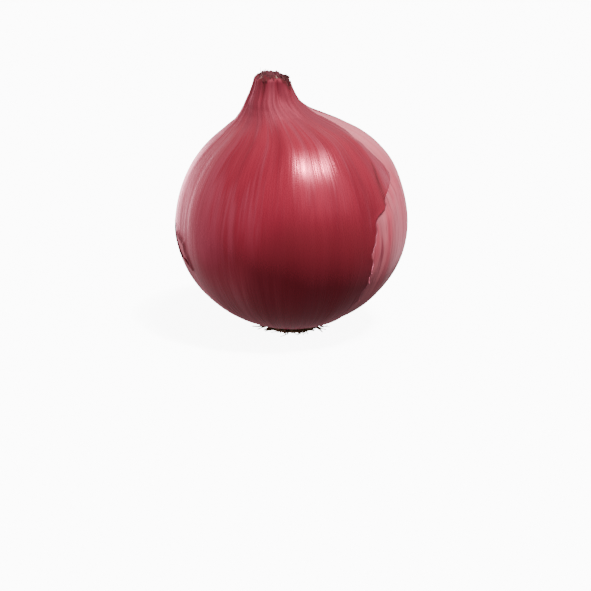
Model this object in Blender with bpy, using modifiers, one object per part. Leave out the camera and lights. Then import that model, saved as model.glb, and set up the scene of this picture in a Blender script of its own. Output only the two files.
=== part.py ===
"""A whole red onion, standing upright on its root plate.

The bulb is nearly a globe, and its neck stands off centre. A dry outer skin wraps it and is torn away
down one side. At the top the leaf sheaths end in a short, ragged neck of nested dry layers. Below, a
corky root plate with trimmed root stubs carries the weight on its small flat underside.

Metres, +Z up. The origin is the middle of the flat underside of the root plate. The front is -Y, and
azimuths run from the front towards +X.
"""

import math
import random

import bmesh
import bpy
from mathutils import Euler, Matrix, Vector, noise

MM = 0.001

# Bulb, measured on the outside of the dry skin
EQUATOR_RADIUS = 39.3 * MM
EQUATOR_HEIGHT = 37.0 * MM
LOWER_DEPTH = 36.0 * MM
UPPER_RISE = 39.1 * MM

# Neck, as heights above the equator
NECK_TIP_RISE = 50.6 * MM
NECK_FOOT_RISE = 37.3 * MM
NECK_TIP_RADIUS = 6.3 * MM
NECK_SPREAD = 6.4 * MM
NECK_SPREAD_POWER = 1.7
NECK_BLEND = 3.8 * MM
NECK_BLEND_START = 25.4 * MM
NECK_LEAN_START = 30.0 * MM
NECK_LEAN_END = 43.5 * MM
NECK_LEAN = Vector((-6.3 * MM, 1.2 * MM))
NECK_TWIST = 0.35
CORE_RING_RISES = (47.4 * MM, 45.0 * MM, 42.5 * MM)

# Waves round the onion, each as (how many, depth, phase)
RIB_WAVES = ((13, 0.20 * MM, -0.87), (8, 0.15 * MM, 0.53))
RIB_WANDER = 0.10
RIB_WANDER_RUN = 14.0 * MM
BODY_WAVES = ((2, 0.008, 0.4), (3, 0.006, -1.1))
FOLD_WAVES = ((2, 0.050, -0.5), (3, 0.040, 2.2), (5, 0.035, 0.9), (8, 0.020, -0.6))
FOLD_START = 36.0 * MM
FOLD_END = 45.0 * MM

# The fuller shoulder on the right: its middle, its size each way, and its swell as a share of the radius
BULGE_AZIMUTH = math.radians(105.0)
BULGE_RISE = 24.5 * MM
BULGE_WIDTH = math.radians(40.0)
BULGE_RUN = 8.5 * MM
BULGE_SWELL = 0.038

# Layers
SKIN_THICKNESS = 0.6 * MM
LAYER_GAP = 0.36 * MM
LAYER_PITCH = SKIN_THICKNESS + LAYER_GAP
CURL_WIDTH = 0.02
CURL_LIFT = 0.5 * MM
TEAR_START_RISE = 45.0 * MM
TEAR_BROAD = 2.2 * MM
TEAR_FINE = 1.8 * MM
HEM_DEPTH = 0.5
SHEATH_COUNT = 2
SHEATH_FOOT_RISE = 42.8 * MM
CORE_FOOT_RISE = 41.4 * MM
CORE_TIP_RISE = 49.8 * MM

# Roots
PLATE_FLAT_RADIUS = 7.2 * MM
PLATE_RADIUS = 8.8 * MM
PLATE_HEIGHT = 2.7 * MM
BASE_RIM_RADIUS = 10.4 * MM
SKIN_RIM_RADIUS = 11.4 * MM
ROOT_COUNT = 52
ROOT_SIDES = 5
ROOT_CLEARANCE = 0.25 * MM
ROOT_SPREAD = 0.6
ROOT_THICKNESS = (0.36 * MM, 0.58 * MM)
ROOT_START_HEIGHT = (0.8 * MM, 1.6 * MM)
ROOT_SHORTEST = 0.9 * MM
ROOT_LONGEST = 3.8 * MM
ROOT_END_LIFT = 0.45 * MM
ROOT_SWING = 1.1 * MM
ROOT_TAPER = 0.6

# Torn window down the right of the skin: azimuths of its edges in degrees, and bends in them,
# each as (height above the equator where it starts, where it ends, degrees)
WINDOW_FRONT = 43.0
WINDOW_FRONT_BENDS = (
    (-2.0 * MM, 8.0 * MM, 3.0),
    (6.5 * MM, 11.5 * MM, 9.0),
    (12.5 * MM, 18.5 * MM, 16.5),
    (18.0 * MM, 30.0 * MM, -6.5),
    (31.0 * MM, 38.0 * MM, 18.0),
    (37.5 * MM, 43.0 * MM, 10.0),
)
WINDOW_BACK = 106.0
WINDOW_BACK_BENDS = ((6.0 * MM, 28.0 * MM, 18.0), (33.0 * MM, 42.0 * MM, -22.0))
WINDOW_JAG = 1.5
WINDOW_JAG_RUN = 6.0 * MM

# The inner layer's swelling in the window, and how it fades, in degrees and heights above the equator
WINDOW_RISE = 0.75 * MM
WINDOW_MARGIN = 3.0
WINDOW_SLOPE = 12.0
WINDOW_FADE_ABOVE = (26.0 * MM, 36.0 * MM)
WINDOW_FADE_BELOW = (-22.0 * MM, -32.0 * MM)

# Flaked patch low on the left of the skin
PATCH_AZIMUTH = -75.0
PATCH_RISE = -5.1 * MM
PATCH_LENGTH = 22.0 * MM
PATCH_WIDTH = 6.5 * MM
PATCH_SLANT = -39.0
PATCH_CUT_DEPTH = 10.0 * MM

# Facets
TURN_STEPS = 68
SKIN_SWEEP = 350.0
SKIN_STEPS = 58
SHEATH_STEPS = 44
RING_ANGLE = math.radians(7.4)
UPPER_RINGS = 9
NECK_RINGS = 9
SHEATH_RINGS = 5
LENS_POINTS = 13
PLATE_STEPS = 40


def smooth_step(low, high, value):
    """0 below low, 1 above high, and an even slope at both ends between them."""
    share = min(1.0, max(0.0, (value - low) / (high - low)))
    return share * share * (3.0 - 2.0 * share)


def smooth_max(a, b, blend):
    """The larger of two lengths, with a fillet of about the given size where they meet."""
    share = min(1.0, max(0.0, 0.5 + 0.5 * (a - b) / blend))
    return b + (a - b) * share + blend * share * (1.0 - share)


def reference_radius(rise):
    """Radius of the outside of the onion at a height above the equator."""
    if rise <= 0.0:
        return EQUATOR_RADIUS * math.sqrt(max(0.0, 1.0 - (rise / LOWER_DEPTH) ** 2))
    globe = EQUATOR_RADIUS * math.sqrt(max(0.0, 1.0 - (rise / UPPER_RISE) ** 2))
    below_tip = max(0.0, NECK_TIP_RISE - rise) / (NECK_TIP_RISE - NECK_FOOT_RISE)
    neck = NECK_TIP_RADIUS + NECK_SPREAD * below_tip**NECK_SPREAD_POWER
    return smooth_max(globe, neck, NECK_BLEND) if rise > NECK_BLEND_START else globe


def outline_point(rise, inset):
    """A point (radius, height) on the outline, moved inwards square to it by inset."""
    step = 0.05 * MM
    radius = reference_radius(rise)
    slope = Vector((reference_radius(rise + step) - reference_radius(rise - step), 2.0 * step))
    inward = Vector((-slope.y, slope.x)).normalized()
    return Vector((radius, EQUATOR_HEIGHT + rise)) + inset * inward


def body_rises(rim_radius):
    """Heights above the equator of the rings from the base rim to the shoulder, lowest first."""
    start = math.asin(rim_radius / EQUATOR_RADIUS)
    lower_count = round((0.5 * math.pi - start) / RING_ANGLE)
    lower = [
        -LOWER_DEPTH * math.cos(start + (0.5 * math.pi - start) * i / lower_count)
        for i in range(lower_count)
    ]
    upper = [UPPER_RISE * math.sin(RING_ANGLE * i) for i in range(UPPER_RINGS)]
    return lower + upper


def neck_rises(last):
    """Heights above the equator of the rings from the shoulder up to last."""
    shoulder = UPPER_RISE * math.sin(RING_ANGLE * UPPER_RINGS)
    return [shoulder + (last - shoulder) * i / (NECK_RINGS - 1) for i in range(NECK_RINGS)]


def waves(table, azimuth):
    return sum(depth * math.cos(count * azimuth + phase) for count, depth, phase in table)


def ribs(azimuth, rise):
    """Shallow ridges along the skin's veins, as a change of radius in metres."""
    fade = smooth_step(-LOWER_DEPTH, -0.6 * LOWER_DEPTH, rise)
    fade *= 1.0 - smooth_step(0.8 * UPPER_RISE, UPPER_RISE, rise)
    wander = RIB_WANDER / RIB_WAVES[0][0] * math.sin(rise / RIB_WANDER_RUN)
    return fade * waves(RIB_WAVES, azimuth + wander)


def bulge(azimuth, rise):
    """The fuller shoulder, as a share of the radius."""
    off = (azimuth - BULGE_AZIMUTH + math.pi) % (2.0 * math.pi) - math.pi
    return BULGE_SWELL * math.exp(-((off / BULGE_WIDTH) ** 2) - ((rise - BULGE_RISE) / BULGE_RUN) ** 2)


def swell(azimuth, rise):
    """The bulb isn't quite round, and its neck is creased into a few folds: a factor on the radius."""
    neck = smooth_step(FOLD_START, FOLD_END, rise)
    twist = NECK_TWIST * (rise - NECK_FOOT_RISE) / (NECK_TIP_RISE - NECK_FOOT_RISE)
    body = (1.0 - neck) * (waves(BODY_WAVES, azimuth) + bulge(azimuth, rise))
    folds = neck * waves(FOLD_WAVES, azimuth + twist)
    return 1.0 + body + folds


def ragged(azimuth, layer):
    """How far a torn edge stands above or below its mean line, in metres, uneven round each layer."""
    across, along = math.sin(azimuth), math.cos(azimuth)
    broad = noise.noise(Vector((1.3 * across, 1.3 * along, 5.7 * layer + 0.3)))
    fine = noise.noise(Vector((4.5 * across, 4.5 * along, 3.1 * layer + 7.2)))
    return TEAR_BROAD * broad + TEAR_FINE * fine


def torn_tip(azimuth, radius, height, layer, tip_rise):
    """A place on the neck moved along its slope to the layer's torn edge, as (radius, height)."""
    rise = height - EQUATOR_HEIGHT
    lift = ragged(azimuth, layer) * smooth_step(TEAR_START_RISE, tip_rise, rise)
    along_slope = reference_radius(rise + lift) - reference_radius(rise)
    return radius + along_slope, height + lift


def place(azimuth, radius, height):
    """A point of the finished onion, from its place on the plain turned shape."""
    rise = height - EQUATOR_HEIGHT
    share = min(1.0, radius / max(reference_radius(min(rise, NECK_TIP_RISE)), 1.0 * MM))
    full = radius * swell(azimuth, rise) + share * ribs(azimuth, rise)
    lean = NECK_LEAN * smooth_step(NECK_LEAN_START, NECK_LEAN_END, rise)
    return Vector((full * math.sin(azimuth) + lean.x, -full * math.cos(azimuth) + lean.y, height))


def azimuth_of(point):
    return math.atan2(point.x, -point.y)


def new_collection(name):
    made = bpy.data.collections.new(name)
    bpy.context.scene.collection.children.link(made)
    return made


def new_material(name, colour, roughness):
    made = bpy.data.materials.new(name)
    made.use_nodes = True
    shader = made.node_tree.nodes["Principled BSDF"]
    shader.inputs["Base Color"].default_value = (*colour, 1.0)
    shader.inputs["Roughness"].default_value = roughness
    shader.inputs["Metallic"].default_value = 0.0
    return made


def turned(outline, steps, turn=2.0 * math.pi):
    """The mesh swept about Z, the way that azimuth grows, by an outline that runs down its outer side."""
    profile = bpy.data.meshes.new("profile")
    points = [(p[0], 0.0, p[1]) for p in outline]
    profile.from_pydata(points, [(i, i + 1) for i in range(len(points) - 1)], [])
    guide = bpy.data.objects.new("profile", profile)
    bpy.context.scene.collection.objects.link(guide)
    screw = guide.modifiers.new("turn", "SCREW")
    screw.axis = "Z"
    screw.angle = turn
    screw.steps = steps
    screw.render_steps = steps
    screw.use_merge_vertices = True
    screw.merge_threshold = 0.01 * MM
    graph = bpy.context.evaluated_depsgraph_get()
    mesh = bpy.data.meshes.new_from_object(guide.evaluated_get(graph))
    bpy.data.objects.remove(guide)
    bpy.data.meshes.remove(profile)
    return mesh


def new_node(name, mesh, material, collection):
    """A named object whose faces all point out."""
    shaper = bmesh.new()
    shaper.from_mesh(mesh)
    bmesh.ops.recalc_face_normals(shaper, faces=shaper.faces)
    shaper.to_mesh(mesh)
    shaper.free()
    mesh.name = name
    mesh.materials.clear()
    mesh.materials.append(material)
    mesh.shade_smooth()
    made = bpy.data.objects.new(name, mesh)
    collection.objects.link(made)
    return made


def add_thickness(sheet, thickness):
    """Gives an open sheet its wall, inwards from the surface that it was drawn on."""
    solidify = sheet.modifiers.new("wall", "SOLIDIFY")
    solidify.thickness = thickness
    solidify.offset = -1.0
    solidify.use_even_offset = True
    solidify.use_rim = True


def bent(azimuth, bends, rise):
    """An edge's azimuth in degrees at a height, with its bends."""
    return azimuth + sum(turn * smooth_step(start, end, rise) for start, end, turn in bends)


def window_edges(rise):
    """Azimuths of the front and back edges of the torn window in the skin, in radians."""
    jag = WINDOW_JAG * noise.noise(Vector((rise / WINDOW_JAG_RUN, 0.4, 0.0)))
    jag *= 1.0 - smooth_step(0.8 * UPPER_RISE, UPPER_RISE, rise)
    front = bent(WINDOW_FRONT, WINDOW_FRONT_BENDS, rise) + jag
    back = bent(WINDOW_BACK, WINDOW_BACK_BENDS, rise) - 0.7 * jag
    return math.radians(front), math.radians(back)


def window_fill(azimuth, rise):
    """How far the inner layer swells out through the torn window, in metres."""
    front, back = window_edges(rise)
    margin = math.radians(WINDOW_MARGIN)
    slope = math.radians(WINDOW_SLOPE)
    inside = smooth_step(front + margin, front + margin + slope, azimuth)
    inside *= smooth_step(back - margin, back - margin - slope, azimuth)
    inside *= 1.0 - smooth_step(*WINDOW_FADE_ABOVE, rise)
    inside *= 1.0 - smooth_step(*WINDOW_FADE_BELOW, rise)
    return WINDOW_RISE * inside


def make_bulb(material, collection):
    """The fleshy bulb in its close inner skin, with the soft core of the neck."""
    core_inset = LAYER_PITCH * (SHEATH_COUNT + 1)
    core_radius = NECK_TIP_RADIUS - core_inset
    outline = [
        Vector((0.0, EQUATOR_HEIGHT + CORE_TIP_RISE)),
        Vector((0.7 * core_radius, EQUATOR_HEIGHT + CORE_TIP_RISE - 0.5 * MM)),
    ]
    outline += [outline_point(rise, core_inset) for rise in CORE_RING_RISES]
    rises = body_rises(BASE_RIM_RADIUS) + neck_rises(CORE_FOOT_RISE)
    outline += [outline_point(rise, LAYER_PITCH) for rise in reversed(rises)]
    recess = PLATE_HEIGHT + LAYER_GAP
    outline.append(Vector((0.92 * BASE_RIM_RADIUS - LAYER_PITCH, recess)))
    outline.append(Vector((0.0, recess)))
    mesh = turned(outline, TURN_STEPS)
    for vertex in mesh.vertices:
        radius = math.hypot(vertex.co.x, vertex.co.y)
        azimuth = azimuth_of(vertex.co)
        fill = window_fill(azimuth, vertex.co.z - EQUATOR_HEIGHT)
        vertex.co = place(azimuth, radius + fill, vertex.co.z)
    return new_node("bulb", mesh, material, collection)


def lens_outline(length, width):
    """Points round a lens with ragged long sides."""
    along = [0.5 - i / (LENS_POINTS - 1) for i in range(LENS_POINTS)]
    wobble = [0.5 + 0.16 * math.sin(19.0 * u) for u in along]
    upper = [(length * u, width * w * (1.0 - 4.0 * u * u)) for u, w in zip(along, wobble)]
    lower = [(-length * u, -width * w * (1.0 - 4.0 * u * u)) for u, w in zip(along, wobble)]
    return upper + lower[1:-1]


def make_cutter(collection):
    """A ragged lens that takes a flaked patch out of the skin, low on the left."""
    outline = bpy.data.curves.new("patch_outline", "CURVE")
    outline.dimensions = "2D"
    outline.fill_mode = "BOTH"
    outline.extrude = 0.5 * PATCH_CUT_DEPTH
    points = lens_outline(PATCH_LENGTH, PATCH_WIDTH)
    edge = outline.splines.new("POLY")
    edge.points.add(len(points) - 1)
    for point, on_edge in zip(edge.points, points):
        point.co = (*on_edge, 0.0, 1.0)
    edge.use_cyclic_u = True
    drawn = bpy.data.objects.new("patch_outline", outline)
    bpy.context.scene.collection.objects.link(drawn)
    graph = bpy.context.evaluated_depsgraph_get()
    mesh = bpy.data.meshes.new_from_object(drawn.evaluated_get(graph))
    bpy.data.objects.remove(drawn)
    shaper = bmesh.new()
    shaper.from_mesh(mesh)
    bmesh.ops.remove_doubles(shaper, verts=shaper.verts, dist=0.001 * MM)
    bmesh.ops.recalc_face_normals(shaper, faces=shaper.faces)
    shaper.to_mesh(mesh)
    shaper.free()
    cutter = bpy.data.objects.new("patch_cutter", mesh)
    collection.objects.link(cutter)
    azimuth = math.radians(PATCH_AZIMUTH)
    outwards = Vector((math.sin(azimuth), -math.cos(azimuth), 0.0))
    sideways = Vector((math.cos(azimuth), math.sin(azimuth), 0.0))
    stand = Matrix((sideways, Vector((0.0, 0.0, 1.0)), outwards)).transposed()
    slant = Euler((0.0, 0.0, math.radians(PATCH_SLANT))).to_matrix()
    radius = reference_radius(PATCH_RISE)
    centre = radius * outwards + Vector((0.0, 0.0, EQUATOR_HEIGHT + PATCH_RISE))
    cutter.matrix_world = Matrix.Translation(centre) @ (stand @ slant).to_4x4()
    cutter.hide_render = True
    cutter.display_type = "WIRE"
    return cutter


def make_outer_skin(material, collection, cutter):
    """The dry papery skin: one sheet wrapped round the bulb from the roots to the tip of the neck."""
    tip = NECK_TIP_RISE - 1.2 * MM
    sweep = math.radians(SKIN_SWEEP)
    rises = body_rises(SKIN_RIM_RADIUS) + neck_rises(tip)
    outline = [outline_point(rise, 0.0) for rise in reversed(rises)]
    lowest = outline[-1].y
    hem_run = outline[-2] - outline[-1]
    mesh = turned(outline, SKIN_STEPS, sweep)
    for vertex in mesh.vertices:
        share = (math.atan2(vertex.co.y, vertex.co.x) % (2.0 * math.pi)) / sweep
        radius = math.hypot(vertex.co.x, vertex.co.y)
        height = vertex.co.z
        rise = height - EQUATOR_HEIGHT
        front, back = window_edges(rise)
        azimuth = back + share * (2.0 * math.pi + front - back)
        if height < lowest + 0.1 * MM:
            hem = HEM_DEPTH * (0.5 + ragged(azimuth, SHEATH_COUNT + 1) / (TEAR_BROAD + TEAR_FINE))
            radius += hem * hem_run.x
            height += hem * hem_run.y
        front_curl = math.exp(-(((1.0 - share) / CURL_WIDTH) ** 2))
        back_curl = math.exp(-((share / CURL_WIDTH) ** 2))
        curl = (front_curl + 0.7 * back_curl) * (1.0 - smooth_step(*WINDOW_FADE_ABOVE, rise))
        curl *= 1.0 - smooth_step(*WINDOW_FADE_BELOW, rise)
        radius, height = torn_tip(azimuth, radius, height, 0, tip)
        vertex.co = place(azimuth, radius + CURL_LIFT * curl, height)
    skin = new_node("outer_skin", mesh, material, collection)
    add_thickness(skin, SKIN_THICKNESS)
    patch = skin.modifiers.new("patch", "BOOLEAN")
    patch.operation = "DIFFERENCE"
    patch.solver = "EXACT"
    patch.object = cutter
    return skin


def make_neck_sheath(index, material, collection):
    """One dry leaf sheath of the neck, nested inside the skin, with a ragged tip."""
    inset = LAYER_PITCH * (index + 1)
    tip = NECK_TIP_RISE - 0.6 * MM + 0.35 * MM * index
    spacing = (tip - SHEATH_FOOT_RISE) / (SHEATH_RINGS - 1)
    rises = [SHEATH_FOOT_RISE + spacing * i for i in range(SHEATH_RINGS)]
    outline = [outline_point(rise, inset) for rise in reversed(rises)]
    mesh = turned(outline, SHEATH_STEPS)
    for vertex in mesh.vertices:
        azimuth = azimuth_of(vertex.co)
        radius = math.hypot(vertex.co.x, vertex.co.y)
        vertex.co = place(azimuth, *torn_tip(azimuth, radius, vertex.co.z, index + 1, tip))
    sheath = new_node(f"neck_sheath_{index + 1}", mesh, material, collection)
    add_thickness(sheath, SKIN_THICKNESS)
    return sheath


def root_stub(draw, index):
    """One trimmed root as a tapered peg, from inside the plate's edge outwards along the surface below."""
    azimuth = 2.0 * math.pi * (index + draw.uniform(-ROOT_SPREAD, ROOT_SPREAD)) / ROOT_COUNT
    thick = draw.uniform(*ROOT_THICKNESS)
    start_height = draw.uniform(*ROOT_START_HEIGHT)
    reach = ROOT_SHORTEST + (ROOT_LONGEST - ROOT_SHORTEST) * draw.random() ** 1.5
    end_height = ROOT_CLEARANCE + 0.7 * thick + draw.uniform(0.0, ROOT_END_LIFT)
    out = Vector((math.sin(azimuth), -math.cos(azimuth), 0.0))
    side = Vector((out.y, -out.x, 0.0)) * draw.uniform(-ROOT_SWING, ROOT_SWING)
    first = 0.8 * PLATE_RADIUS * out + Vector((0.0, 0.0, start_height))
    last = (PLATE_RADIUS + reach) * out + side + Vector((0.0, 0.0, end_height))
    return first, last, thick


def make_root_plate(material, collection):
    """The corky plate that the onion stands on, with its root stubs fused to it."""
    outline = [
        Vector((0.0, PLATE_HEIGHT)),
        Vector((0.82 * PLATE_RADIUS, PLATE_HEIGHT)),
        Vector((0.97 * PLATE_RADIUS, 0.74 * PLATE_HEIGHT)),
        Vector((PLATE_RADIUS, 0.45 * PLATE_HEIGHT)),
        Vector((0.5 * (PLATE_RADIUS + PLATE_FLAT_RADIUS), 0.12 * PLATE_HEIGHT)),
        Vector((PLATE_FLAT_RADIUS, 0.0)),
        Vector((0.0, 0.0)),
    ]
    plate = new_node("root_plate", turned(outline, PLATE_STEPS), material, collection)
    stubs = new_collection("root_stubs")
    draw = random.Random(7)
    for index in range(ROOT_COUNT):
        first, last, thick = root_stub(draw, index)
        shaper = bmesh.new()
        bmesh.ops.create_cone(
            shaper,
            cap_ends=True,
            segments=ROOT_SIDES,
            radius1=thick,
            radius2=ROOT_TAPER * thick,
            depth=(last - first).length,
        )
        mesh = bpy.data.meshes.new(f"root_{index}")
        shaper.to_mesh(mesh)
        shaper.free()
        stub = bpy.data.objects.new(f"root_{index}", mesh)
        stub.location = 0.5 * (first + last)
        stub.rotation_mode = "QUATERNION"
        stub.rotation_quaternion = (last - first).to_track_quat("Z", "Y")
        stubs.objects.link(stub)
    union = plate.modifiers.new("roots", "BOOLEAN")
    union.operation = "UNION"
    union.operand_type = "COLLECTION"
    union.solver = "EXACT"
    union.collection = stubs
    graph = bpy.context.evaluated_depsgraph_get()
    fused = bpy.data.meshes.new_from_object(plate.evaluated_get(graph))
    plate.modifiers.clear()
    plate.data = fused
    fused.name = "root_plate"
    for stub in list(stubs.objects):
        bpy.data.objects.remove(stub)
    bpy.data.collections.remove(stubs)
    return plate


def main():
    for old in list(bpy.data.objects):
        bpy.data.objects.remove(old)
    onion = new_collection("red_onion")
    cutters = new_collection("cutters")
    cutters.hide_render = True

    inner_skin = new_material("inner_skin", (0.55, 0.20, 0.24), 0.35)
    dry_skin = new_material("dry_skin", (0.36, 0.04, 0.07), 0.32)
    dry_sheath = new_material("dry_sheath", (0.24, 0.05, 0.05), 0.60)
    cork = new_material("cork", (0.42, 0.30, 0.17), 0.85)

    make_bulb(inner_skin, onion)
    make_outer_skin(dry_skin, onion, make_cutter(cutters))
    for index in range(SHEATH_COUNT):
        make_neck_sheath(index, dry_sheath, onion)
    make_root_plate(cork, onion)


main()
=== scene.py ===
"""Dresses the solids of a whole red onion: its bulb, its dry skin, its neck and its roots, on a plain stage.

Metres, +Z up. The origin is the middle of the flat spot that the onion stands on. The front is -Y, and
azimuths run from the front towards +X. A rise is a height above the bulb's widest ring.
"""

import math
import random

import bmesh
import bpy
from mathutils import Matrix, Vector, noise


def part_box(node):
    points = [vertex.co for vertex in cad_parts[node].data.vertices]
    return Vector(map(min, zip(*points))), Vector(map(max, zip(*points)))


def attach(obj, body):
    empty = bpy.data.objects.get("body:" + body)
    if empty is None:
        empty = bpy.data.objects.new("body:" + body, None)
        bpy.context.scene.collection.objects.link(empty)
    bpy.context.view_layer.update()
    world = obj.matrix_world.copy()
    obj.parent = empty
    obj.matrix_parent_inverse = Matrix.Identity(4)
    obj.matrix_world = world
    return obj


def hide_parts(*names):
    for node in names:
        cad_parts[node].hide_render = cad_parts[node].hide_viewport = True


bl_info = {
    "name": "Red Onion",
    "version": (1, 0, 0),
    "blender": (4, 5, 0),
    "location": "View3D > Sidebar > Onion",
    "description": "Bulb, dry skin, neck, roots and studio of a whole red onion",
    "category": "Add Mesh",
}

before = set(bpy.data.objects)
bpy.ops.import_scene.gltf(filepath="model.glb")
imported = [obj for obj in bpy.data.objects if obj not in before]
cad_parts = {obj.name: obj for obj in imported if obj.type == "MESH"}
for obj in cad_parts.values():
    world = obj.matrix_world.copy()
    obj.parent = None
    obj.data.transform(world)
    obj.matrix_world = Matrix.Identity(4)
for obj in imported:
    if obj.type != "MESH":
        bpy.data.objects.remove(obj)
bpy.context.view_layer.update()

MM = 0.001
TAU = 2.0 * math.pi
TINY = 1e-6

# Root plate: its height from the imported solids, its radii, and how far its top is sunk into the bulb
PLATE_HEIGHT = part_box("root_plate")[1].z
PLATE_RADIUS = 8.8 * MM
PLATE_FLAT_RADIUS = 7.2 * MM
PLATE_SUNK = 0.25 * MM

# Bulb, measured on the outside of the dry skin. Past the ring break, a piece's rings are spaced for the neck
EQUATOR_RADIUS = 39.3 * MM
EQUATOR_HEIGHT = 37.0 * MM
LOWER_DEPTH = 36.0 * MM
UPPER_RISE = 39.1 * MM
RING_BREAK_RISE = 36.0 * MM

# Neck
NECK_TIP_RISE = 50.6 * MM
NECK_FOOT_RISE = 37.3 * MM
NECK_TIP_RADIUS = 6.3 * MM
NECK_SPREAD = 6.4 * MM
NECK_SPREAD_POWER = 1.7
NECK_BLEND = 3.8 * MM
NECK_BLEND_START = 25.4 * MM
NECK_LEAN_START = 30.0 * MM
NECK_LEAN_END = 43.5 * MM
NECK_LEAN = Vector((-6.3 * MM, 1.2 * MM))
NECK_TWIST = 0.35

# Easing of the hollow at the neck's foot: the rises over which it comes and goes, how far off the points lie
# that it averages, and the azimuth round which the hollow stays sharp
EASED_FROM = (32.0 * MM, 36.0 * MM)
EASED_TO = (41.0 * MM, 44.5 * MM)
EASED_RUN = 2.2 * MM
SHARP_AZIMUTH = math.radians(92.0)
SHARP_WIDTH = math.radians(45.0)

# Tip of the neck: where the skin ends and tears, and how the dried leaves close over the top
SKIN_TIP_RISE = NECK_TIP_RISE - 0.4 * MM
TEAR_START_RISE = 45.0 * MM
CLOSING_RISE = 48.9 * MM
CLOSING_RADIUS = 1.3 * MM
CLOSING_ANGLE = math.radians(62.0)
TOP_TILT = 0.22
TEAR_BROAD = 2.2 * MM
TEAR_FINE = 1.8 * MM

# Waves round the onion, each as (how many, depth, phase)
RIB_WAVES = ((13, 0.20 * MM, -0.87), (8, 0.15 * MM, 0.53))
RIB_WANDER = 0.10
RIB_WANDER_RUN = 14.0 * MM
BODY_WAVES = ((2, 0.008, 0.4), (3, 0.006, -1.1))
FOLD_WAVES = ((2, 0.050, -0.5), (3, 0.040, 2.2), (5, 0.035, 0.9), (8, 0.020, -0.6))
FOLD_START = 36.0 * MM
FOLD_END = 45.0 * MM

# The fuller shoulder on the right: its middle, its size each way, and its swell as a share of the radius
BULGE_AZIMUTH = math.radians(105.0)
BULGE_RISE = 24.5 * MM
BULGE_WIDTH = math.radians(40.0)
BULGE_RUN = 8.5 * MM
BULGE_SWELL = 0.038

# Creases down the neck, each as (azimuth in degrees, width in degrees, depth, rise where it starts)
CREASES = (
    (-24.0, 4.5, 0.36 * MM, 39.5 * MM),
    (14.0, 5.0, 0.22 * MM, 41.0 * MM),
    (47.0, 7.0, 0.40 * MM, 39.0 * MM),
    (-68.0, 8.0, 0.24 * MM, 39.0 * MM),
    (92.0, 7.0, 0.38 * MM, 38.0 * MM),
    (133.0, 9.0, 0.55 * MM, 38.0 * MM),
    (176.0, 6.0, 0.42 * MM, 40.0 * MM),
    (-118.0, 8.0, 0.50 * MM, 38.5 * MM),
    (-152.0, 6.0, 0.36 * MM, 40.5 * MM),
)

# Stretches of skin of another tone, each as (azimuth in degrees, rise, width in degrees, run up the skin,
# tone). A tone above 0 is deeper and one below 0 is paler, and past -0.8 the skin is thin, in a pale pink
# that is partly painted reflection. The pale stretches at -52 and -84 degrees are partly painted sheen and
# reflection down the left flank and limb
TONES = (
    (-8.0, 31.0 * MM, 7.0, 8.0 * MM, 0.9),
    (-36.0, 26.0 * MM, 15.0, 8.0 * MM, 0.6),
    (30.0, 24.0 * MM, 12.0, 8.0 * MM, 0.3),
    (-24.0, 12.0 * MM, 14.0, 9.0 * MM, -0.3),
    (-52.0, 4.0 * MM, 20.0, 20.0 * MM, -0.9),
    (-84.0, 9.0 * MM, 17.0, 21.0 * MM, -1.9),
    (-40.0, -4.0 * MM, 16.0, 8.0 * MM, -0.6),
    (3.0, 2.0 * MM, 13.0, 11.0 * MM, 0.9),
    (28.0, 3.0 * MM, 14.0, 12.0 * MM, 0.6),
    (46.0, 18.0 * MM, 8.0, 9.0 * MM, 0.4),
    (64.0, 20.0 * MM, 6.0, 8.0 * MM, -0.9),
    (118.0, 10.0 * MM, 16.0, 18.0 * MM, 0.5),
    (150.0, -4.0 * MM, 14.0, 16.0 * MM, -0.6),
    (-172.0, 14.0 * MM, 18.0, 16.0 * MM, 0.7),
    (-138.0, 0.0 * MM, 16.0, 20.0 * MM, -0.7),
    (-108.0, 16.0 * MM, 12.0, 14.0 * MM, 0.5),
)

# Where the skin's tip stands higher or lower, each as (azimuth in degrees, 0, width in degrees, 1, lift)
TIP_LIFTS = (
    (8.0, 0.0, 30.0, 1.0, 0.5 * MM),
    (54.0, 0.0, 13.0, 1.0, -2.0 * MM),
    (-48.0, 0.0, 10.0, 1.0, -0.7 * MM),
)

# Places where the neck is painted brown, each as (azimuth in degrees, rise, width in degrees, run), and how
# brown it is where that isn't 1. Most have dried; the one at -64 degrees is painted shade on the neck's left
# side
DRIED_AND_SHADE_PLACES = (
    (-96.0, 44.0 * MM, 13.0, 4.5 * MM),
    (-24.0, 48.0 * MM, 7.0, 3.6 * MM, 0.7),
    (-64.0, 42.5 * MM, 15.0, 5.5 * MM, 0.48),
    (50.0, 49.0 * MM, 13.0, 1.7 * MM),
    (140.0, 47.0 * MM, 16.0, 3.0 * MM),
    (-150.0, 45.5 * MM, 12.0, 4.0 * MM),
)

# Where the skin stands a little out or in, each as (azimuth in degrees, rise, width in degrees, run, lift)
SKIN_LIFTS = (
    (-92.0, 38.0 * MM, 40.0, 2.6 * MM, 0.15 * MM),
    (-92.0, 42.6 * MM, 40.0, 2.2 * MM, -0.25 * MM),
)

# Where the skin is drawn smooth, as (azimuth in degrees, rise, width in degrees, run)
SMOOTH_PLACES = ((11.0, 25.0 * MM, 16.0, 11.0 * MM),)

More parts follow.
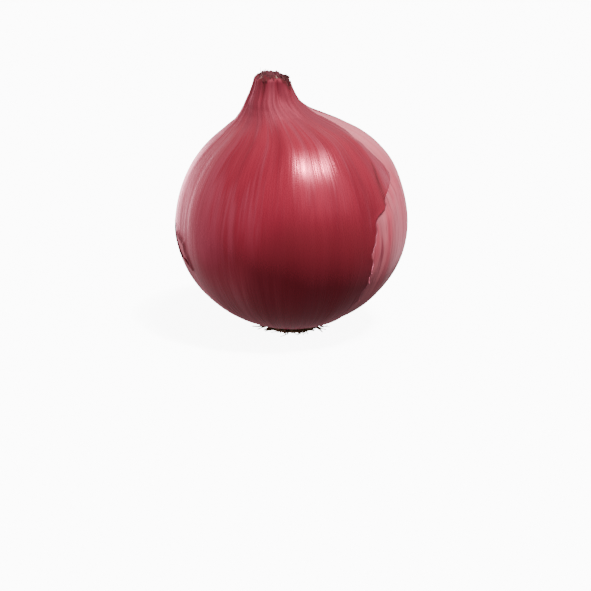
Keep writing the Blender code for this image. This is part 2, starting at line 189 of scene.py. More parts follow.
# Torn window down the right of the dry skin: azimuths of its edges in degrees, and bends in them,
# each as (rise where it starts, where it ends, degrees). The steady front follows the last two bends alone;
# the columns of the sheet that stand far from the front edge keep to it
WINDOW_FRONT = 43.0
WINDOW_FRONT_BENDS = (
    (-2.0 * MM, 8.0 * MM, 3.0),
    (6.5 * MM, 11.5 * MM, 9.0),
    (12.5 * MM, 18.5 * MM, 16.5),
    (18.0 * MM, 30.0 * MM, -6.5),
    (31.0 * MM, 38.0 * MM, 18.0),
    (37.5 * MM, 43.0 * MM, 10.0),
)
STEADY_FRONT = 65.0
WINDOW_BACK = 106.0
WINDOW_BACK_BENDS = ((6.0 * MM, 28.0 * MM, 18.0), (33.0 * MM, 42.0 * MM, -22.0))
WINDOW_JAG = 1.5
WINDOW_JAG_RUN = 6.0 * MM
WINDOW_FADE_ABOVE = (26.0 * MM, 36.0 * MM)
WINDOW_FADE_BELOW = (-22.0 * MM, -32.0 * MM)

# Painted shadow of a narrow fold just inside the window's front edge, a dark line in the colour only: its
# azimuth and its turn in degrees, the rises over which it turns, its width, and the rises over which it comes
# and goes
FOLD_SHADOW_AZIMUTH = 55.5
FOLD_SHADOW_TURN = 3.5
FOLD_SHADOW_TURN_RISES = (18.0 * MM, 27.0 * MM)
FOLD_SHADOW_WIDTH = math.radians(1.2)
FOLD_SHADOW_FROM = (9.5 * MM, 13.0 * MM)
FOLD_SHADOW_TO = (22.0 * MM, 27.0 * MM)

# Flaked patch low on the left of the dry skin
PATCH_AZIMUTH = math.radians(-75.0)
PATCH_RISE = -5.1 * MM
PATCH_LENGTH = 22.0 * MM
PATCH_WIDTH = 6.5 * MM
PATCH_SLANT = math.radians(-39.0)

# Rims and insets of the pieces, from the dry skin's outer face
SKIN_RIM_RADIUS = 11.0 * MM
BULB_RIM_RADIUS = 9.6 * MM
BULB_INSET = 0.45 * MM
SHEATH_INSETS = (0.50 * MM, 1.00 * MM)
SHEATH_FOOT_RISE = 40.0 * MM
CORE_INSET = 1.55 * MM
CORE_INSET_RISES = (40.5 * MM, 44.0 * MM)

# The picture's own frame, in pixels, and the onion's centre in it. The width share is how wide the onion is
# there against its plain turned shape
PICTURE_SIZE = 591
ONION_COLUMN = 291.5
ONION_ROW = 222.0
WIDTH_SHARE = 0.9924

# Lights: their places from the onion's middle, the width of the two discs, and the small sun's angle
MIDDLE = Vector((0.0, 0.0, EQUATOR_HEIGHT))
KEY_PLACE = Vector((0.26, -0.27, 0.92))
SPARK_PLACE = Vector((0.33, -0.30, 0.90))
SPARK_ANGLE = math.radians(3.5)
LEFT_PLACE = Vector((-0.46, 0.88, -0.06))
LEFT_SIZE = 0.42
RIGHT_PLACE = Vector((0.52, -0.55, 0.65))
RIGHT_SIZE = 0.85
WHITE = (1.0, 1.0, 1.0)


def smooth_step(low, high, value):
    """0 below low, 1 above high, and an even slope at both ends between them."""
    share = min(1.0, max(0.0, (value - low) / (high - low)))
    return share * share * (3.0 - 2.0 * share)


def smooth_max(a, b, blend):
    """The larger of two lengths, with a fillet of about the given size where they meet."""
    share = min(1.0, max(0.0, 0.5 + 0.5 * (a - b) / blend))
    return b + (a - b) * share + blend * share * (1.0 - share)


def between(start, end, value):
    """1 from one stretch (low, high) to the other and 0 beyond them, with an even slope over each."""
    return smooth_step(*start, value) * (1.0 - smooth_step(*end, value))


def near(distance, reach):
    """1 at no distance, fading smoothly to almost nothing at twice the reach."""
    return math.exp(-((distance / reach) ** 2))


def waves(table, azimuth):
    return sum(depth * math.cos(count * azimuth + phase) for count, depth, phase in table)


def line_noise(along, aside, seed=0.0):
    """Smooth noise of about -0.5 to 0.5 along a line or over a strip."""
    return noise.noise(Vector((along, aside, seed)))


def round_noise(azimuth, around, along, seed):
    """Smooth noise of about -0.5 to 0.5 that closes round the onion."""
    return line_noise(around * math.sin(azimuth), around * math.cos(azimuth), along + 17.3 * seed)


def reference_radius(rise):
    """Radius of the outside of the onion at a rise."""
    if rise <= 0.0:
        return EQUATOR_RADIUS * math.sqrt(max(0.0, 1.0 - (rise / LOWER_DEPTH) ** 2))
    globe = EQUATOR_RADIUS * math.sqrt(max(0.0, 1.0 - (rise / UPPER_RISE) ** 2))
    below_tip = max(0.0, NECK_TIP_RISE - rise) / (NECK_TIP_RISE - NECK_FOOT_RISE)
    neck = NECK_TIP_RADIUS + NECK_SPREAD * below_tip**NECK_SPREAD_POWER
    return smooth_max(globe, neck, NECK_BLEND) if rise > NECK_BLEND_START else globe


def outline_point(rise, inset):
    """A point (radius, height) on the outline, moved inwards square to it by inset."""
    step = 0.05 * MM
    slope = Vector((reference_radius(rise + step) - reference_radius(rise - step), 2.0 * step))
    inward = Vector((-slope.y, slope.x)).normalized()
    return Vector((reference_radius(rise), EQUATOR_HEIGHT + rise)) + inset * inward


def ribs(azimuth, rise):
    """Shallow ridges along the skin's veins, as a change of radius."""
    fade = smooth_step(-LOWER_DEPTH, -0.6 * LOWER_DEPTH, rise)
    fade *= 1.0 - smooth_step(0.8 * UPPER_RISE, UPPER_RISE, rise)
    wander = RIB_WANDER / RIB_WAVES[0][0] * math.sin(rise / RIB_WANDER_RUN)
    return fade * waves(RIB_WAVES, azimuth + wander)


def turn_from(azimuth, other):
    """The turn from one azimuth to another, from half a turn back to half a turn on."""
    return (azimuth - other + math.pi) % TAU - math.pi


def bulge(azimuth, rise):
    """The fuller shoulder, as a share of the radius."""
    off = turn_from(azimuth, BULGE_AZIMUTH)
    return BULGE_SWELL * near(off, BULGE_WIDTH) * near(rise - BULGE_RISE, BULGE_RUN)


def swell(azimuth, rise):
    """The bulb isn't quite round, and its neck is creased into a few folds: a factor on the radius."""
    neck = smooth_step(FOLD_START, FOLD_END, rise)
    twist = NECK_TWIST * (rise - NECK_FOOT_RISE) / (NECK_TIP_RISE - NECK_FOOT_RISE)
    body = (1.0 - neck) * (waves(BODY_WAVES, azimuth) + bulge(azimuth, rise))
    folds = neck * waves(FOLD_WAVES, azimuth + twist)
    return 1.0 + body + folds


def place(azimuth, radius, height):
    """A point of the finished onion, from its place on the plain turned shape."""
    rise = height - EQUATOR_HEIGHT
    share = min(1.0, radius / max(reference_radius(min(rise, NECK_TIP_RISE)), 1.0 * MM))
    full = radius * swell(azimuth, rise) + share * ribs(azimuth, rise)
    lean = NECK_LEAN * smooth_step(NECK_LEAN_START, NECK_LEAN_END, rise)
    return Vector((full * math.sin(azimuth) + lean.x, -full * math.cos(azimuth) + lean.y, height))


def eased_point(azimuth, rise, inset):
    """As outline_point, with the hollow at the neck's foot eased out, except on the right."""
    point = outline_point(rise, inset)
    ease = between(EASED_FROM, EASED_TO, rise)
    ease *= 1.0 - near(turn_from(azimuth, SHARP_AZIMUTH), SHARP_WIDTH)
    if ease < TINY:
        return point
    beside = outline_point(rise - EASED_RUN, inset) + outline_point(rise + EASED_RUN, inset)
    return point.lerp(0.4 * point + 0.3 * beside, ease)


def on_skin(azimuth, rise, inset):
    """A point of the finished onion, inset from the dry skin's outer face."""
    return place(azimuth, *eased_point(azimuth, rise, inset))


def over_top(azimuth, rise, inset):
    """As on_skin, but bent in over the top of the neck, where the dried leaves close on each other."""
    past = max(0.0, rise - CLOSING_RISE)
    bend = min(past / CLOSING_RADIUS, CLOSING_ANGLE)
    straight = past - bend * CLOSING_RADIUS
    up = CLOSING_RADIUS * math.sin(bend) + straight * math.cos(CLOSING_ANGLE)
    drawn_in = CLOSING_RADIUS * (1.0 - math.cos(bend)) + straight * math.sin(CLOSING_ANGLE)
    up -= TOP_TILT * math.sin(azimuth) * drawn_in
    return on_skin(azimuth, min(rise, CLOSING_RISE) + up, inset + drawn_in)


def crease(azimuth, rise):
    """How far the neck's creases sink in, and 0 to 1 for how deep in a crease a place lies, which the skin's
    finish darkens as painted shade.
    """
    depth = 0.0
    deepest = 0.0
    for middle, width, most, start in CREASES:
        drift = 4.0 * line_noise(rise / (5.0 * MM), middle)
        off = math.degrees(turn_from(azimuth, math.radians(middle + drift)))
        in_crease = near(off, width) * smooth_step(start, start + 6.0 * MM, rise)
        depth += most * in_crease
        deepest = max(deepest, in_crease * most / (0.6 * MM))
    return depth, min(1.0, deepest)


def blobs(table, azimuth, rise):
    """Sums a table of soft-edged places: (azimuth, rise, width, run) and a strength where it isn't 1."""
    total = 0.0
    for middle, height, width, run, *strength in table:
        off = math.degrees(turn_from(azimuth, math.radians(middle)))
        total += (strength[0] if strength else 1.0) * near(off, width) * near(rise - height, run)
    return total


def painted_fold_shadow(azimuth, rise):
    """How dark the painted shadow of a fold just inside the torn window's front edge lies at a place, from 0
    to 1.
    """
    middle = math.radians(FOLD_SHADOW_AZIMUTH + FOLD_SHADOW_TURN * smooth_step(*FOLD_SHADOW_TURN_RISES, rise))
    return near(turn_from(azimuth, middle), FOLD_SHADOW_WIDTH) * between(FOLD_SHADOW_FROM, FOLD_SHADOW_TO, rise)


def ragged(azimuth, layer):
    """How far a torn edge stands above or below its mean line, uneven round each layer."""
    broad = round_noise(azimuth, 1.3, 5.7 * layer + 0.3, 0)
    fine = round_noise(azimuth, 4.5, 3.1 * layer + 7.2, 0)
    return TEAR_BROAD * broad + TEAR_FINE * fine


def frayed(azimuth, layer):
    """The small jags on top of a torn edge's broad ones."""
    jags = 0.5 * round_noise(azimuth, 9.0, 0.0, layer + 3) + 0.5 * round_noise(azimuth, 22.0, 0.0, layer + 9)
    return (jags + 0.4 * round_noise(azimuth, 50.0, 0.0, layer + 14)) * MM


def bent(azimuth, bends, rise):
    """An edge's azimuth in degrees at a rise, with its bends."""
    return azimuth + sum(turn * smooth_step(start, end, rise) for start, end, turn in bends)


def window_edges(rise):
    """Azimuths of the front and back edges of the torn window in the dry skin."""
    jag = WINDOW_JAG * line_noise(rise / WINDOW_JAG_RUN, 0.4)
    jag *= 1.0 - smooth_step(0.8 * UPPER_RISE, UPPER_RISE, rise)
    front = bent(WINDOW_FRONT, WINDOW_FRONT_BENDS, rise) + jag
    back = bent(WINDOW_BACK, WINDOW_BACK_BENDS, rise) - 0.7 * jag
    return math.radians(front), math.radians(back)


def along_window(rise):
    """1 along the torn window, fading to 0 past its two ends."""
    return (1.0 - smooth_step(*WINDOW_FADE_ABOVE, rise)) * (1.0 - smooth_step(*WINDOW_FADE_BELOW, rise))


def patch_place(azimuth, rise):
    """A place on the skin as (along, across) the flaked patch, in metres."""
    across = (azimuth - PATCH_AZIMUTH) * reference_radius(PATCH_RISE)
    up = rise - PATCH_RISE
    turn = Matrix.Rotation(-PATCH_SLANT, 2)
    return turn @ Vector((across, up))


def patch_half_width(along):
    """Half of the patch's width, with its ragged edge, at a place along it."""
    share = along / PATCH_LENGTH
    if abs(share) >= 0.5:
        return 0.0
    jag = 1.0 + 0.16 * math.sin(19.0 * share) + 0.35 * line_noise(along / (2.2 * MM), 0.0, 4.0)
    return 0.5 * PATCH_WIDTH * jag * (1.0 - 4.0 * share * share)


class Tear:
    """A torn edge that runs along the veins and steps from one vein to the next."""

    step_run = 2.1 * MM

    def __init__(self, seed):
        draw = random.Random(seed)
        self.seed = seed
        self.stops = [draw.uniform(-1.0, 1.0) for _ in range(64)]

    def offset(self, rise):
        """From -1 to 1, how far the edge stands off its mean line."""
        cell = (rise + LOWER_DEPTH) / self.step_run + 0.9 * line_noise(rise / (5.0 * MM), self.seed)
        number = math.floor(cell)
        share = smooth_step(0.55, 0.95, cell - number)
        low = self.stops[number % len(self.stops)]
        high = self.stops[(number + 1) % len(self.stops)]
        return low + (high - low) * share


class Veins:
    """Fine raised veins that run from the roots to the neck, each of its own strength."""

    crest_share = 0.20

    def __init__(self, count, seed):
        draw = random.Random(seed)
        self.count = count
        self.seed = seed
        self.strength = [draw.uniform(0.15, 1.0) for _ in range(count)]

    def height(self, azimuth, rise):
        """0 between two veins and up to 1 on a crest."""
        drift = 1.6 * round_noise(azimuth, 2.4, 22.0 * rise, self.seed)
        turn = self.count * azimuth / TAU + drift
        number = math.floor(turn + 0.5)
        return self.strength[number % self.count] * near(turn - number, self.crest_share)


class Wire:
    """A socket in a material, with the arithmetic that adds its Math nodes."""

    def __init__(self, paint, socket):
        self.paint = paint
        self.socket = socket

    def _math(self, operation, *values, clamp=False):
        settings = {"operation": operation, "use_clamp": clamp}
        return self.paint.node("ShaderNodeMath", settings, dict(enumerate(values)))

    def __add__(self, other):
        return self._math("ADD", self, other)

    __radd__ = __add__

    def __sub__(self, other):
        return self._math("SUBTRACT", self, other)

    def __rsub__(self, other):
        return self._math("SUBTRACT", other, self)

    def __mul__(self, other):
        return self._math("MULTIPLY", self, other)

    __rmul__ = __mul__

    def limited(self):
        """The value held between 0 and 1."""
        return self._math("ADD", self, 0.0, clamp=True)

    def ramp(self, low, high):
        """0 where the value is low and 1 where it is high, with an even slope between."""
        settings = {"interpolation_type": "SMOOTHSTEP", "clamp": True}
        sockets = {"Value": self, "From Min": low, "From Max": high}
        return self.paint.node("ShaderNodeMapRange", settings, sockets)


class Paint:
    """A material or a world under construction, with the few kinds of node that the onion needs."""

    def __init__(self, name, world=None):
        self.material = world or bpy.data.materials.new(name)
        self.material.use_nodes = True
        self.tree = self.material.node_tree
        self.shader = self.tree.nodes["Background" if world else "Principled BSDF"]

    def plug(self, socket, value):
        if isinstance(value, Wire):
            self.tree.links.new(value.socket, socket)
        elif isinstance(value, (int, float)):
            socket.default_value = value
        elif len(socket.default_value) == 4:
            socket.default_value = (*tuple(value)[:3], 1.0)
        else:
            socket.default_value = tuple(value)

    def node(self, kind, settings, sockets, output=0):
        """Adds a node: its settings first, then the values or links of its sockets."""
        made = self.tree.nodes.new(kind)
        for name, value in settings.items():
            setattr(made, name, value)
        for name, value in sockets.items():
            self.plug(made.inputs[name], value)
        return Wire(self, made.outputs[output])

    def attribute(self, name):
        return self.node("ShaderNodeAttribute", {"attribute_name": name}, {}, "Vector")

    def parts(self, vector):
        """A vector's three numbers."""
        apart = self.node("ShaderNodeSeparateXYZ", {}, {"Vector": vector}).socket.node
        return [Wire(self, socket) for socket in apart.outputs]

    def scaled(self, vector, factors):
        return self.node("ShaderNodeVectorMath", {"operation": "MULTIPLY"}, {0: vector, 1: factors})

    def shifted(self, vector, offset):
        return self.node("ShaderNodeVectorMath", {"operation": "ADD"}, {0: vector, 1: offset})

    def cloud(self, vector, scale=1.0, detail=3.0, roughness=0.5):
        """Noise of about 0.3 to 0.7."""
        sockets = {"Vector": vector, "Scale": scale, "Detail": detail, "Roughness": roughness}
        return self.node("ShaderNodeTexNoise", {}, sockets)

    def streaks(self, strand, around, along, seed):
        """Noise drawn out along the strands, from 0 to 1."""
        spot = self.shifted(self.scaled(strand, (around, around, along)), (seed, -2.0 * seed, 0.7 * seed))
        return self.cloud(spot, detail=2.0).ramp(0.30, 0.70)

    def mix(self, factor, first, second):
        """A colour between two colours."""
        settings = {"data_type": "RGBA", "clamp_factor": True}
        sockets = {0: factor, 6: _with_alpha(first), 7: _with_alpha(second)}
        return self.node("ShaderNodeMix", settings, sockets, 2)

    def bump(self, height, distance):
        return self.node("ShaderNodeBump", {}, {"Strength": 1.0, "Distance": distance, "Height": height})

    def finish(self, **sockets):
        """Sets the surface's own sockets, named as the shader names them with _ for a space."""
        for name, value in sockets.items():
            self.plug(self.shader.inputs[name.replace("_", " ")], value)
        return self.material


def _with_alpha(colour):
    return colour if isinstance(colour, Wire) else (*tuple(colour)[:3], 1.0)


def colour_property(name, description, default):
    return bpy.props.FloatVectorProperty(
        name=name, description=description, default=default, subtype="COLOR", size=3, min=0.0, max=1.0
    )


def number_property(name, description, default, **kind):
    return bpy.props.FloatProperty(name=name, description=description, default=default, min=0.0, **kind)


def length_property(name, description, default):
    return number_property(name, description, default, unit="LENGTH")


def angle_property(name, description, default):
    return number_property(name, description, default, subtype="ANGLE")


def count_property(name, description, default, least=0):
    return bpy.props.IntProperty(name=name, description=description, default=default, min=least)


class BulbSettings(bpy.types.PropertyGroup):
    """The fleshy bulb under the dry skin"""

    vein_count: count_property("Veins", "Veins round the bulb's inner skin", 64, least=8)
    vein_relief: length_property("Vein relief", "How far the veins stand up", 0.05 * MM)
    fullness: length_property("Fullness", "How far the bulb swells out in the torn window", 0.7 * MM)
    rose: colour_property("Rose", "The inner skin's main colour", (0.410, 0.058, 0.086))
    blush: colour_property("Blush", "The inner skin where it is thin and pale", (0.520, 0.135, 0.165))
    wine: colour_property("Wine", "The inner skin's dark strands", (0.150, 0.014, 0.028))
    withered: colour_property("Withered", "The dried core of the neck", (0.052, 0.009, 0.012))


class SkinSettings(bpy.types.PropertyGroup):
    """The dry papery skin that wraps the bulb"""

    thickness: length_property("Thickness", "The skin's thickness", 0.14 * MM)
    vein_count: count_property("Veins", "Veins round the skin", 78, least=8)
    vein_relief: length_property("Vein relief", "How far the veins stand up", 0.035 * MM)
    dents: length_property("Dents", "Depth of the skin's broad dents", 0.16 * MM)
    curl: length_property("Curl", "How far a torn edge lifts off the bulb", 0.18 * MM)
    crimson: colour_property("Crimson", "The skin's main colour", (0.200, 0.0120, 0.0250))
    maroon: colour_property("Maroon", "The skin's dark strands", (0.115, 0.0055, 0.0125))
    dusty: colour_property("Dusty pink", "The skin's thin and pale strands", (0.250, 0.0430, 0.0680))
    # Pale pink of thin skin, also painted reflection along the left limb
    thin_and_limb_sheen: colour_property("Thin", "The skin where it is thinnest", (0.420, 0.0850, 0.1350))
    # The skin's darker base, which also carries painted shade on the lower bulb
    root_end_and_shade: colour_property("Root end", "The skin towards the roots", (0.138, 0.0125, 0.0195))
    dried: colour_property("Dried", "The skin over the neck", (0.125, 0.0195, 0.0290))
    # Dark brown of dried and torn skin, also the colour of painted shadow along torn edges and the fold
    burnt_and_shadow: colour_property("Burnt edge", "The skin along a torn edge", (0.045, 0.0085, 0.0085))


class NeckSettings(bpy.types.PropertyGroup):
    """The dry sheaths and tatters of the neck"""

    thickness: length_property("Thickness", "A sheath's thickness", 0.16 * MM)
    tatter_count: count_property("Tatters", "Torn strips round the tip", 64)
    dusty: colour_property("Dusty", "The sheaths' main colour", (0.070, 0.009, 0.014))
    brown: colour_property("Brown", "The sheaths where they are driest", (0.026, 0.005, 0.006))
    grey: colour_property("Grey", "Bleached fibres at the tip", (0.200, 0.115, 0.100))


class RootSettings(bpy.types.PropertyGroup):
    """The corky root plate and its trimmed roots"""

    root_count: count_property("Roots", "Trimmed roots round the plate", 150)
    thinnest: length_property("Thinnest", "Radius of the thinnest root", 0.16 * MM)
    thickest: length_property("Thickest", "Radius of the thickest root", 0.36 * MM)
    cork: colour_property("Cork", "The root plate's main colour", (0.240, 0.150, 0.080))
    earth: colour_property("Earth", "The root plate's dark hollows", (0.060, 0.030, 0.016))
    straw: colour_property("Straw", "The dry roots' main colour", (0.300, 0.190, 0.095))


class StageSettings(bpy.types.PropertyGroup):
    """The camera, the lights and the floor"""

    elevation: angle_property("Elevation", "How far the camera looks down", math.radians(15.0))
    distance: length_property("Distance", "From the camera to the onion's middle", 0.70)
    width_in_picture: number_property("Width in picture", "The onion's width there, in pixels", 230.0)
    key_strength: number_property("Key", "Strength of the high soft light", 4.5)
    key_angle: angle_property("Key size", "How wide the high light looks", math.radians(11.0))
    spark_strength: number_property("Spark", "Strength of the small light inside the high one", 3.3)
    side_power: number_property("Left", "Power of the left light, in watts", 3.2)
    fill_power: number_property("Right", "Power of the right light, in watts", 2.4)
    sky: number_property("Sky", "Strength of the light from above", 0.62)
    haze: number_property("Haze", "Strength of the light from below", 0.20)
    backdrop: number_property("Backdrop", "Strength of the light from behind", 1.5)
    side_glow: number_property("Side glow", "Strength of the light from the left", 0.85)
    glow: number_property("Floor glow", "Light behind the pale floor", 9.0)
    blush_light: colour_property("Blush light", "Colour of the light from behind and left", (1.0, 0.50, 0.60))
    floor: colour_property("Floor", "The floor's colour", (0.93, 0.93, 0.93))


class Growth:
    """A mesh under construction, with the attributes that the finishes read."""

    def __init__(self):
        self.shaper = bmesh.new()
        layers = self.shaper.verts.layers.float_vector
        self.strand = layers.new("strand")
        self.wear = layers.new("wear")
        self.tint = layers.new("tint")

    def mark(self, vertex, azimuth, rise, torn=0.0, dried=0.0, vein=0.0, tone=0.0, crease_shade=0.0, fold_shadow=0.0):
        """Notes where a point lies on the onion's own map, what has happened to the skin there, and where
        shade is painted on it.
        """
        vertex[self.strand] = Vector((math.sin(azimuth), math.cos(azimuth), rise / EQUATOR_RADIUS))
        vertex[self.wear] = Vector((torn, dried, vein))
        vertex[self.tint] = Vector((tone, crease_shade, fold_shadow))


def turned(shaper, outline, steps):
    """Spins an outline (radius, height) once round Z and closes it."""
    points = [shaper.verts.new((p[0], 0.0, p[1])) for p in outline]
    lines = [shaper.edges.new(pair) for pair in zip(points, points[1:])]
    bmesh.ops.spin(
        shaper,
        geom=points + lines,
        cent=(0.0, 0.0, 0.0),
        axis=(0.0, 0.0, 1.0),
        angle=TAU,
        steps=steps,
        use_merge=True,
        use_duplicate=False,
    )
    bmesh.ops.remove_doubles(shaper, verts=shaper.verts, dist=TINY)


def face_outwards(shaper):
    """Turns the faces of an open sheet away from the onion's axis."""
    shaper.faces.ensure_lookup_table()
    widest = max(shaper.faces, key=lambda face: face.calc_center_median().xy.length)
    widest.normal_update()
    if widest.normal.xy.dot(widest.calc_center_median().xy) < 0.0:
        bmesh.ops.reverse_faces(shaper, faces=shaper.faces)


def add_piece(name, shaper, material, nodes=()):
    """Makes the shape a piece of the onion that stands for the given solids."""
    mesh = bpy.data.meshes.new(name)
    shaper.normal_update()
    shaper.to_mesh(mesh)
    shaper.free()
    mesh.shade_smooth()
    mesh.materials.append(material)
    piece = bpy.data.objects.new(name, mesh)
    bpy.context.scene.collection.objects.link(piece)
    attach(piece, "root")
    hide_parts(*nodes)
    return piece


def add_wall(piece, thickness):
    """Gives an open sheet its thickness, inwards from its outer face."""
    wall = piece.modifiers.new("wall", "SOLIDIFY")
    wall.thickness = thickness
    wall.offset = -1.0
    wall.use_rim = True


def azimuth_of(point):
    return math.atan2(point.x, -point.y)


def inner_skin_finish(settings):
    """Moist inner skin: rose, with pale blush and wine strands, and a soft gloss."""
    paint = Paint("inner_skin")
    strand = paint.attribute("strand")
    _, _, rise = paint.parts(strand)
    _, dried, vein = paint.parts(paint.attribute("wear"))
    broad = paint.streaks(strand, 2.0, 0.7, 3.0)
    middle = paint.streaks(strand, 10.0, 1.4, 5.0)
    fine = paint.streaks(strand, 42.0, 2.6, 8.0)
    colour = paint.mix((broad * 0.5 + middle * 0.6).ramp(0.15, 0.85), settings.rose, settings.blush)
    strands = middle.ramp(0.50, 0.95) * 0.30 + fine.ramp(0.55, 1.0) * 0.35 + vein * 0.25
    colour = paint.mix(strands.limited(), colour, settings.wine)
    colour = paint.mix(rise.ramp(0.45, 0.70) * (broad * 0.3 + 0.2), colour, settings.blush)
    colour = paint.mix(rise.ramp(-0.35, -0.95) * 0.6, colour, settings.wine)
    colour = paint.mix(dried, colour, settings.withered)
    grain = paint.cloud(paint.scaled(strand, (120.0, 120.0, 14.0)), detail=2.0)
    return paint.finish(
        Base_Color=colour,
        Roughness=fine * 0.12 + dried * 0.35 + 0.34,
        Normal=paint.bump(fine * 0.6 + grain * 0.4, 0.05 * MM),
        Specular_IOR_Level=0.5,
        Specular_Tint=(1.0, 0.45, 0.52),
        Sheen_Weight=0.15,
        Sheen_Roughness=0.35,
        Sheen_Tint=(1.0, 0.50, 0.58),
    )


def dry_skin_finish(settings):
    """Glossy dry skin: crimson, with maroon and dusty strands, darker at the roots partly as painted shade,
    with painted shade and shadow in creases, along torn edges and a fold, painted reflection on the left
    limb, and dull over the neck.
    """
    paint = Paint("dry_skin")
    strand = paint.attribute("strand")
    _, front, rise = paint.parts(strand)
    torn, dried, vein = paint.parts(paint.attribute("wear"))
    tone, crease_shade, fold_shadow = paint.parts(paint.attribute("tint"))
    broad = paint.streaks(strand, 1.7, 0.8, 2.0)
    middle = paint.streaks(strand, 8.0, 1.1, 6.0)
    narrow = paint.streaks(strand, 22.0, 1.8, 9.0)
    fine = paint.streaks(strand, 60.0, 3.0, 12.0)
    hair = paint.streaks(strand, 130.0, 5.0, 15.0)

    deep = (broad * 0.25 + middle * 0.40 + tone * 0.45 + narrow * 0.15).ramp(0.20, 0.95)
    colour = paint.mix(deep * 0.85, settings.crimson, settings.maroon)
    pale = (narrow * 0.35 + middle * 0.28 - tone * 0.50 + broad * 0.20).ramp(0.35, 0.95)
    colour = paint.mix(pale * 0.70, colour, settings.dusty)
    colour = paint.mix((fine.ramp(0.55, 1.0) * 0.28 + vein * 0.08).limited(), colour, settings.maroon)
    colour = paint.mix(hair.ramp(0.65, 1.0) * 0.12, colour, settings.dusty)

    # Pale pink where the tone is palest: partly thin skin, partly painted reflection on the left limb
    thin_and_limb_sheen = (tone * -1.0).ramp(0.8, 1.7)
    colour = paint.mix(thin_and_limb_sheen * (middle * 0.4 + 0.5), colour, settings.thin_and_limb_sheen)
    # Partly the skin's own darker base and partly painted shade: darker towards the roots and the bottom of
    # the bulb, less where the tone is paler
    low = (rise + middle * 0.12 + narrow * 0.06 - tone * 0.22 - 0.09).ramp(0.40, -0.16)
    colour = paint.mix(low * 0.90, colour, settings.root_end_and_shade)
    high = (rise - front * 0.07 + narrow * 0.05 + middle * 0.07 - 0.06).ramp(0.78, 0.96)
    colour = paint.mix(high, colour, settings.dried)
    shaded = high * (fine.ramp(0.45, 1.0) * 0.18 + narrow.ramp(0.4, 1.0) * 0.18 + broad.ramp(0.3, 0.9) * 0.20)
    # Painted shade in the neck's creases, over its darker streaks
    colour = paint.mix((shaded + crease_shade * 0.75).limited(), colour, settings.maroon)
    # Painted shadow of a fold just inside the window's front edge
    colour = paint.mix(fold_shadow * 0.75, colour, settings.burnt_and_shadow)
    # Brown where the skin has dried, a little in the creases as painted shade, and darker along torn edges,
    # partly as painted shadow of the lifted edges
    brown = (dried * 1.25 + dried * narrow * 0.8 - 0.35 + crease_shade * 0.15).limited()
    colour = paint.mix((brown + torn).limited(), colour, settings.burnt_and_shadow)

    grain = paint.cloud(paint.scaled(strand, (150.0, 150.0, 22.0)), detail=2.0)
    relief = narrow * 0.45 + fine * 0.35 + grain * 0.20
    return paint.finish(
        Base_Color=colour,
        Roughness=narrow * 0.09 + fine * 0.05 + high * 0.35 + (torn + dried).limited() * 0.25 + 0.23,
        Normal=paint.bump(relief, 0.045 * MM),
        Specular_IOR_Level=1.0,
        Specular_Tint=(1.0, 0.16, 0.25),
        Sheen_Weight=0.42,
        Sheen_Roughness=0.30,
        Sheen_Tint=(1.0, 0.22, 0.34),
    )


def dry_sheath_finish(settings):
    """Dull dried leaf: dusty pink to brown, with bleached fibres."""
    paint = Paint("dry_sheath")
    strand = paint.attribute("strand")
    torn, _, _ = paint.parts(paint.attribute("wear"))
    bleached, _, _ = paint.parts(paint.attribute("tint"))
    broad = paint.streaks(strand, 2.4, 2.0, 4.0)
    narrow = paint.streaks(strand, 14.0, 2.4, 7.0)
    fine = paint.streaks(strand, 44.0, 4.0, 10.0)
    colour = paint.mix((broad * 0.6 + narrow * 0.4).ramp(0.3, 0.8), settings.dusty, settings.brown)
    colour = paint.mix(torn * 0.8, colour, settings.brown)
    pale = bleached.ramp(0.72, 0.85) * 0.8 + fine.ramp(0.7, 0.95) * 0.3
    colour = paint.mix(pale.limited(), colour, settings.grey)
    return paint.finish(
        Base_Color=colour,
        Roughness=fine * 0.2 + 0.6,
        Normal=paint.bump(narrow * 0.5 + fine * 0.5, 0.14 * MM),
        Specular_IOR_Level=0.4,
        Specular_Tint=(1.0, 0.35, 0.40),
    )


def cork_finish(settings):
    """Rough dry cork: lumps and crumbs, with faint spokes."""
    paint = Paint("cork")
    spot = paint.node("ShaderNodeTexCoord", {}, {}, "Object")
    strand = paint.attribute("strand")
    lumps = paint.cloud(spot, scale=420.0, detail=5.0, roughness=0.65).ramp(0.35, 0.65)
    crumbs = paint.cloud(spot, scale=1900.0, detail=3.0).ramp(0.35, 0.7)
    spokes = paint.streaks(strand, 16.0, 6.0, 4.0)
    colour = paint.mix((lumps * 0.5 + spokes * 0.5).ramp(0.2, 0.8), settings.earth, settings.cork)
    colour = paint.mix(crumbs * 0.35, colour, settings.straw)
    return paint.finish(
        Base_Color=colour,
        Roughness=crumbs * 0.1 + 0.82,
        Normal=paint.bump(lumps * 0.6 + crumbs * 0.4, 0.35 * MM),
        Specular_IOR_Level=0.2,
    )


def root_finish(settings):
    """Dry, wiry roots: straw, browner towards the plate."""
    paint = Paint("dry_root")
    spot = paint.node("ShaderNodeTexCoord", {}, {}, "Object")
    way_out, _, _ = paint.parts(paint.attribute("wear"))
    near_plate = 1.0 - way_out
    patches = paint.cloud(spot, scale=500.0, detail=3.0).ramp(0.35, 0.65)
    colour = paint.mix((near_plate * 0.6 + patches * 0.5).limited(), settings.straw, settings.earth)
    return paint.finish(
        Base_Color=colour,
        Roughness=patches * 0.15 + 0.7,
        Normal=paint.bump(patches, 0.08 * MM),
        Specular_IOR_Level=0.25,
    )


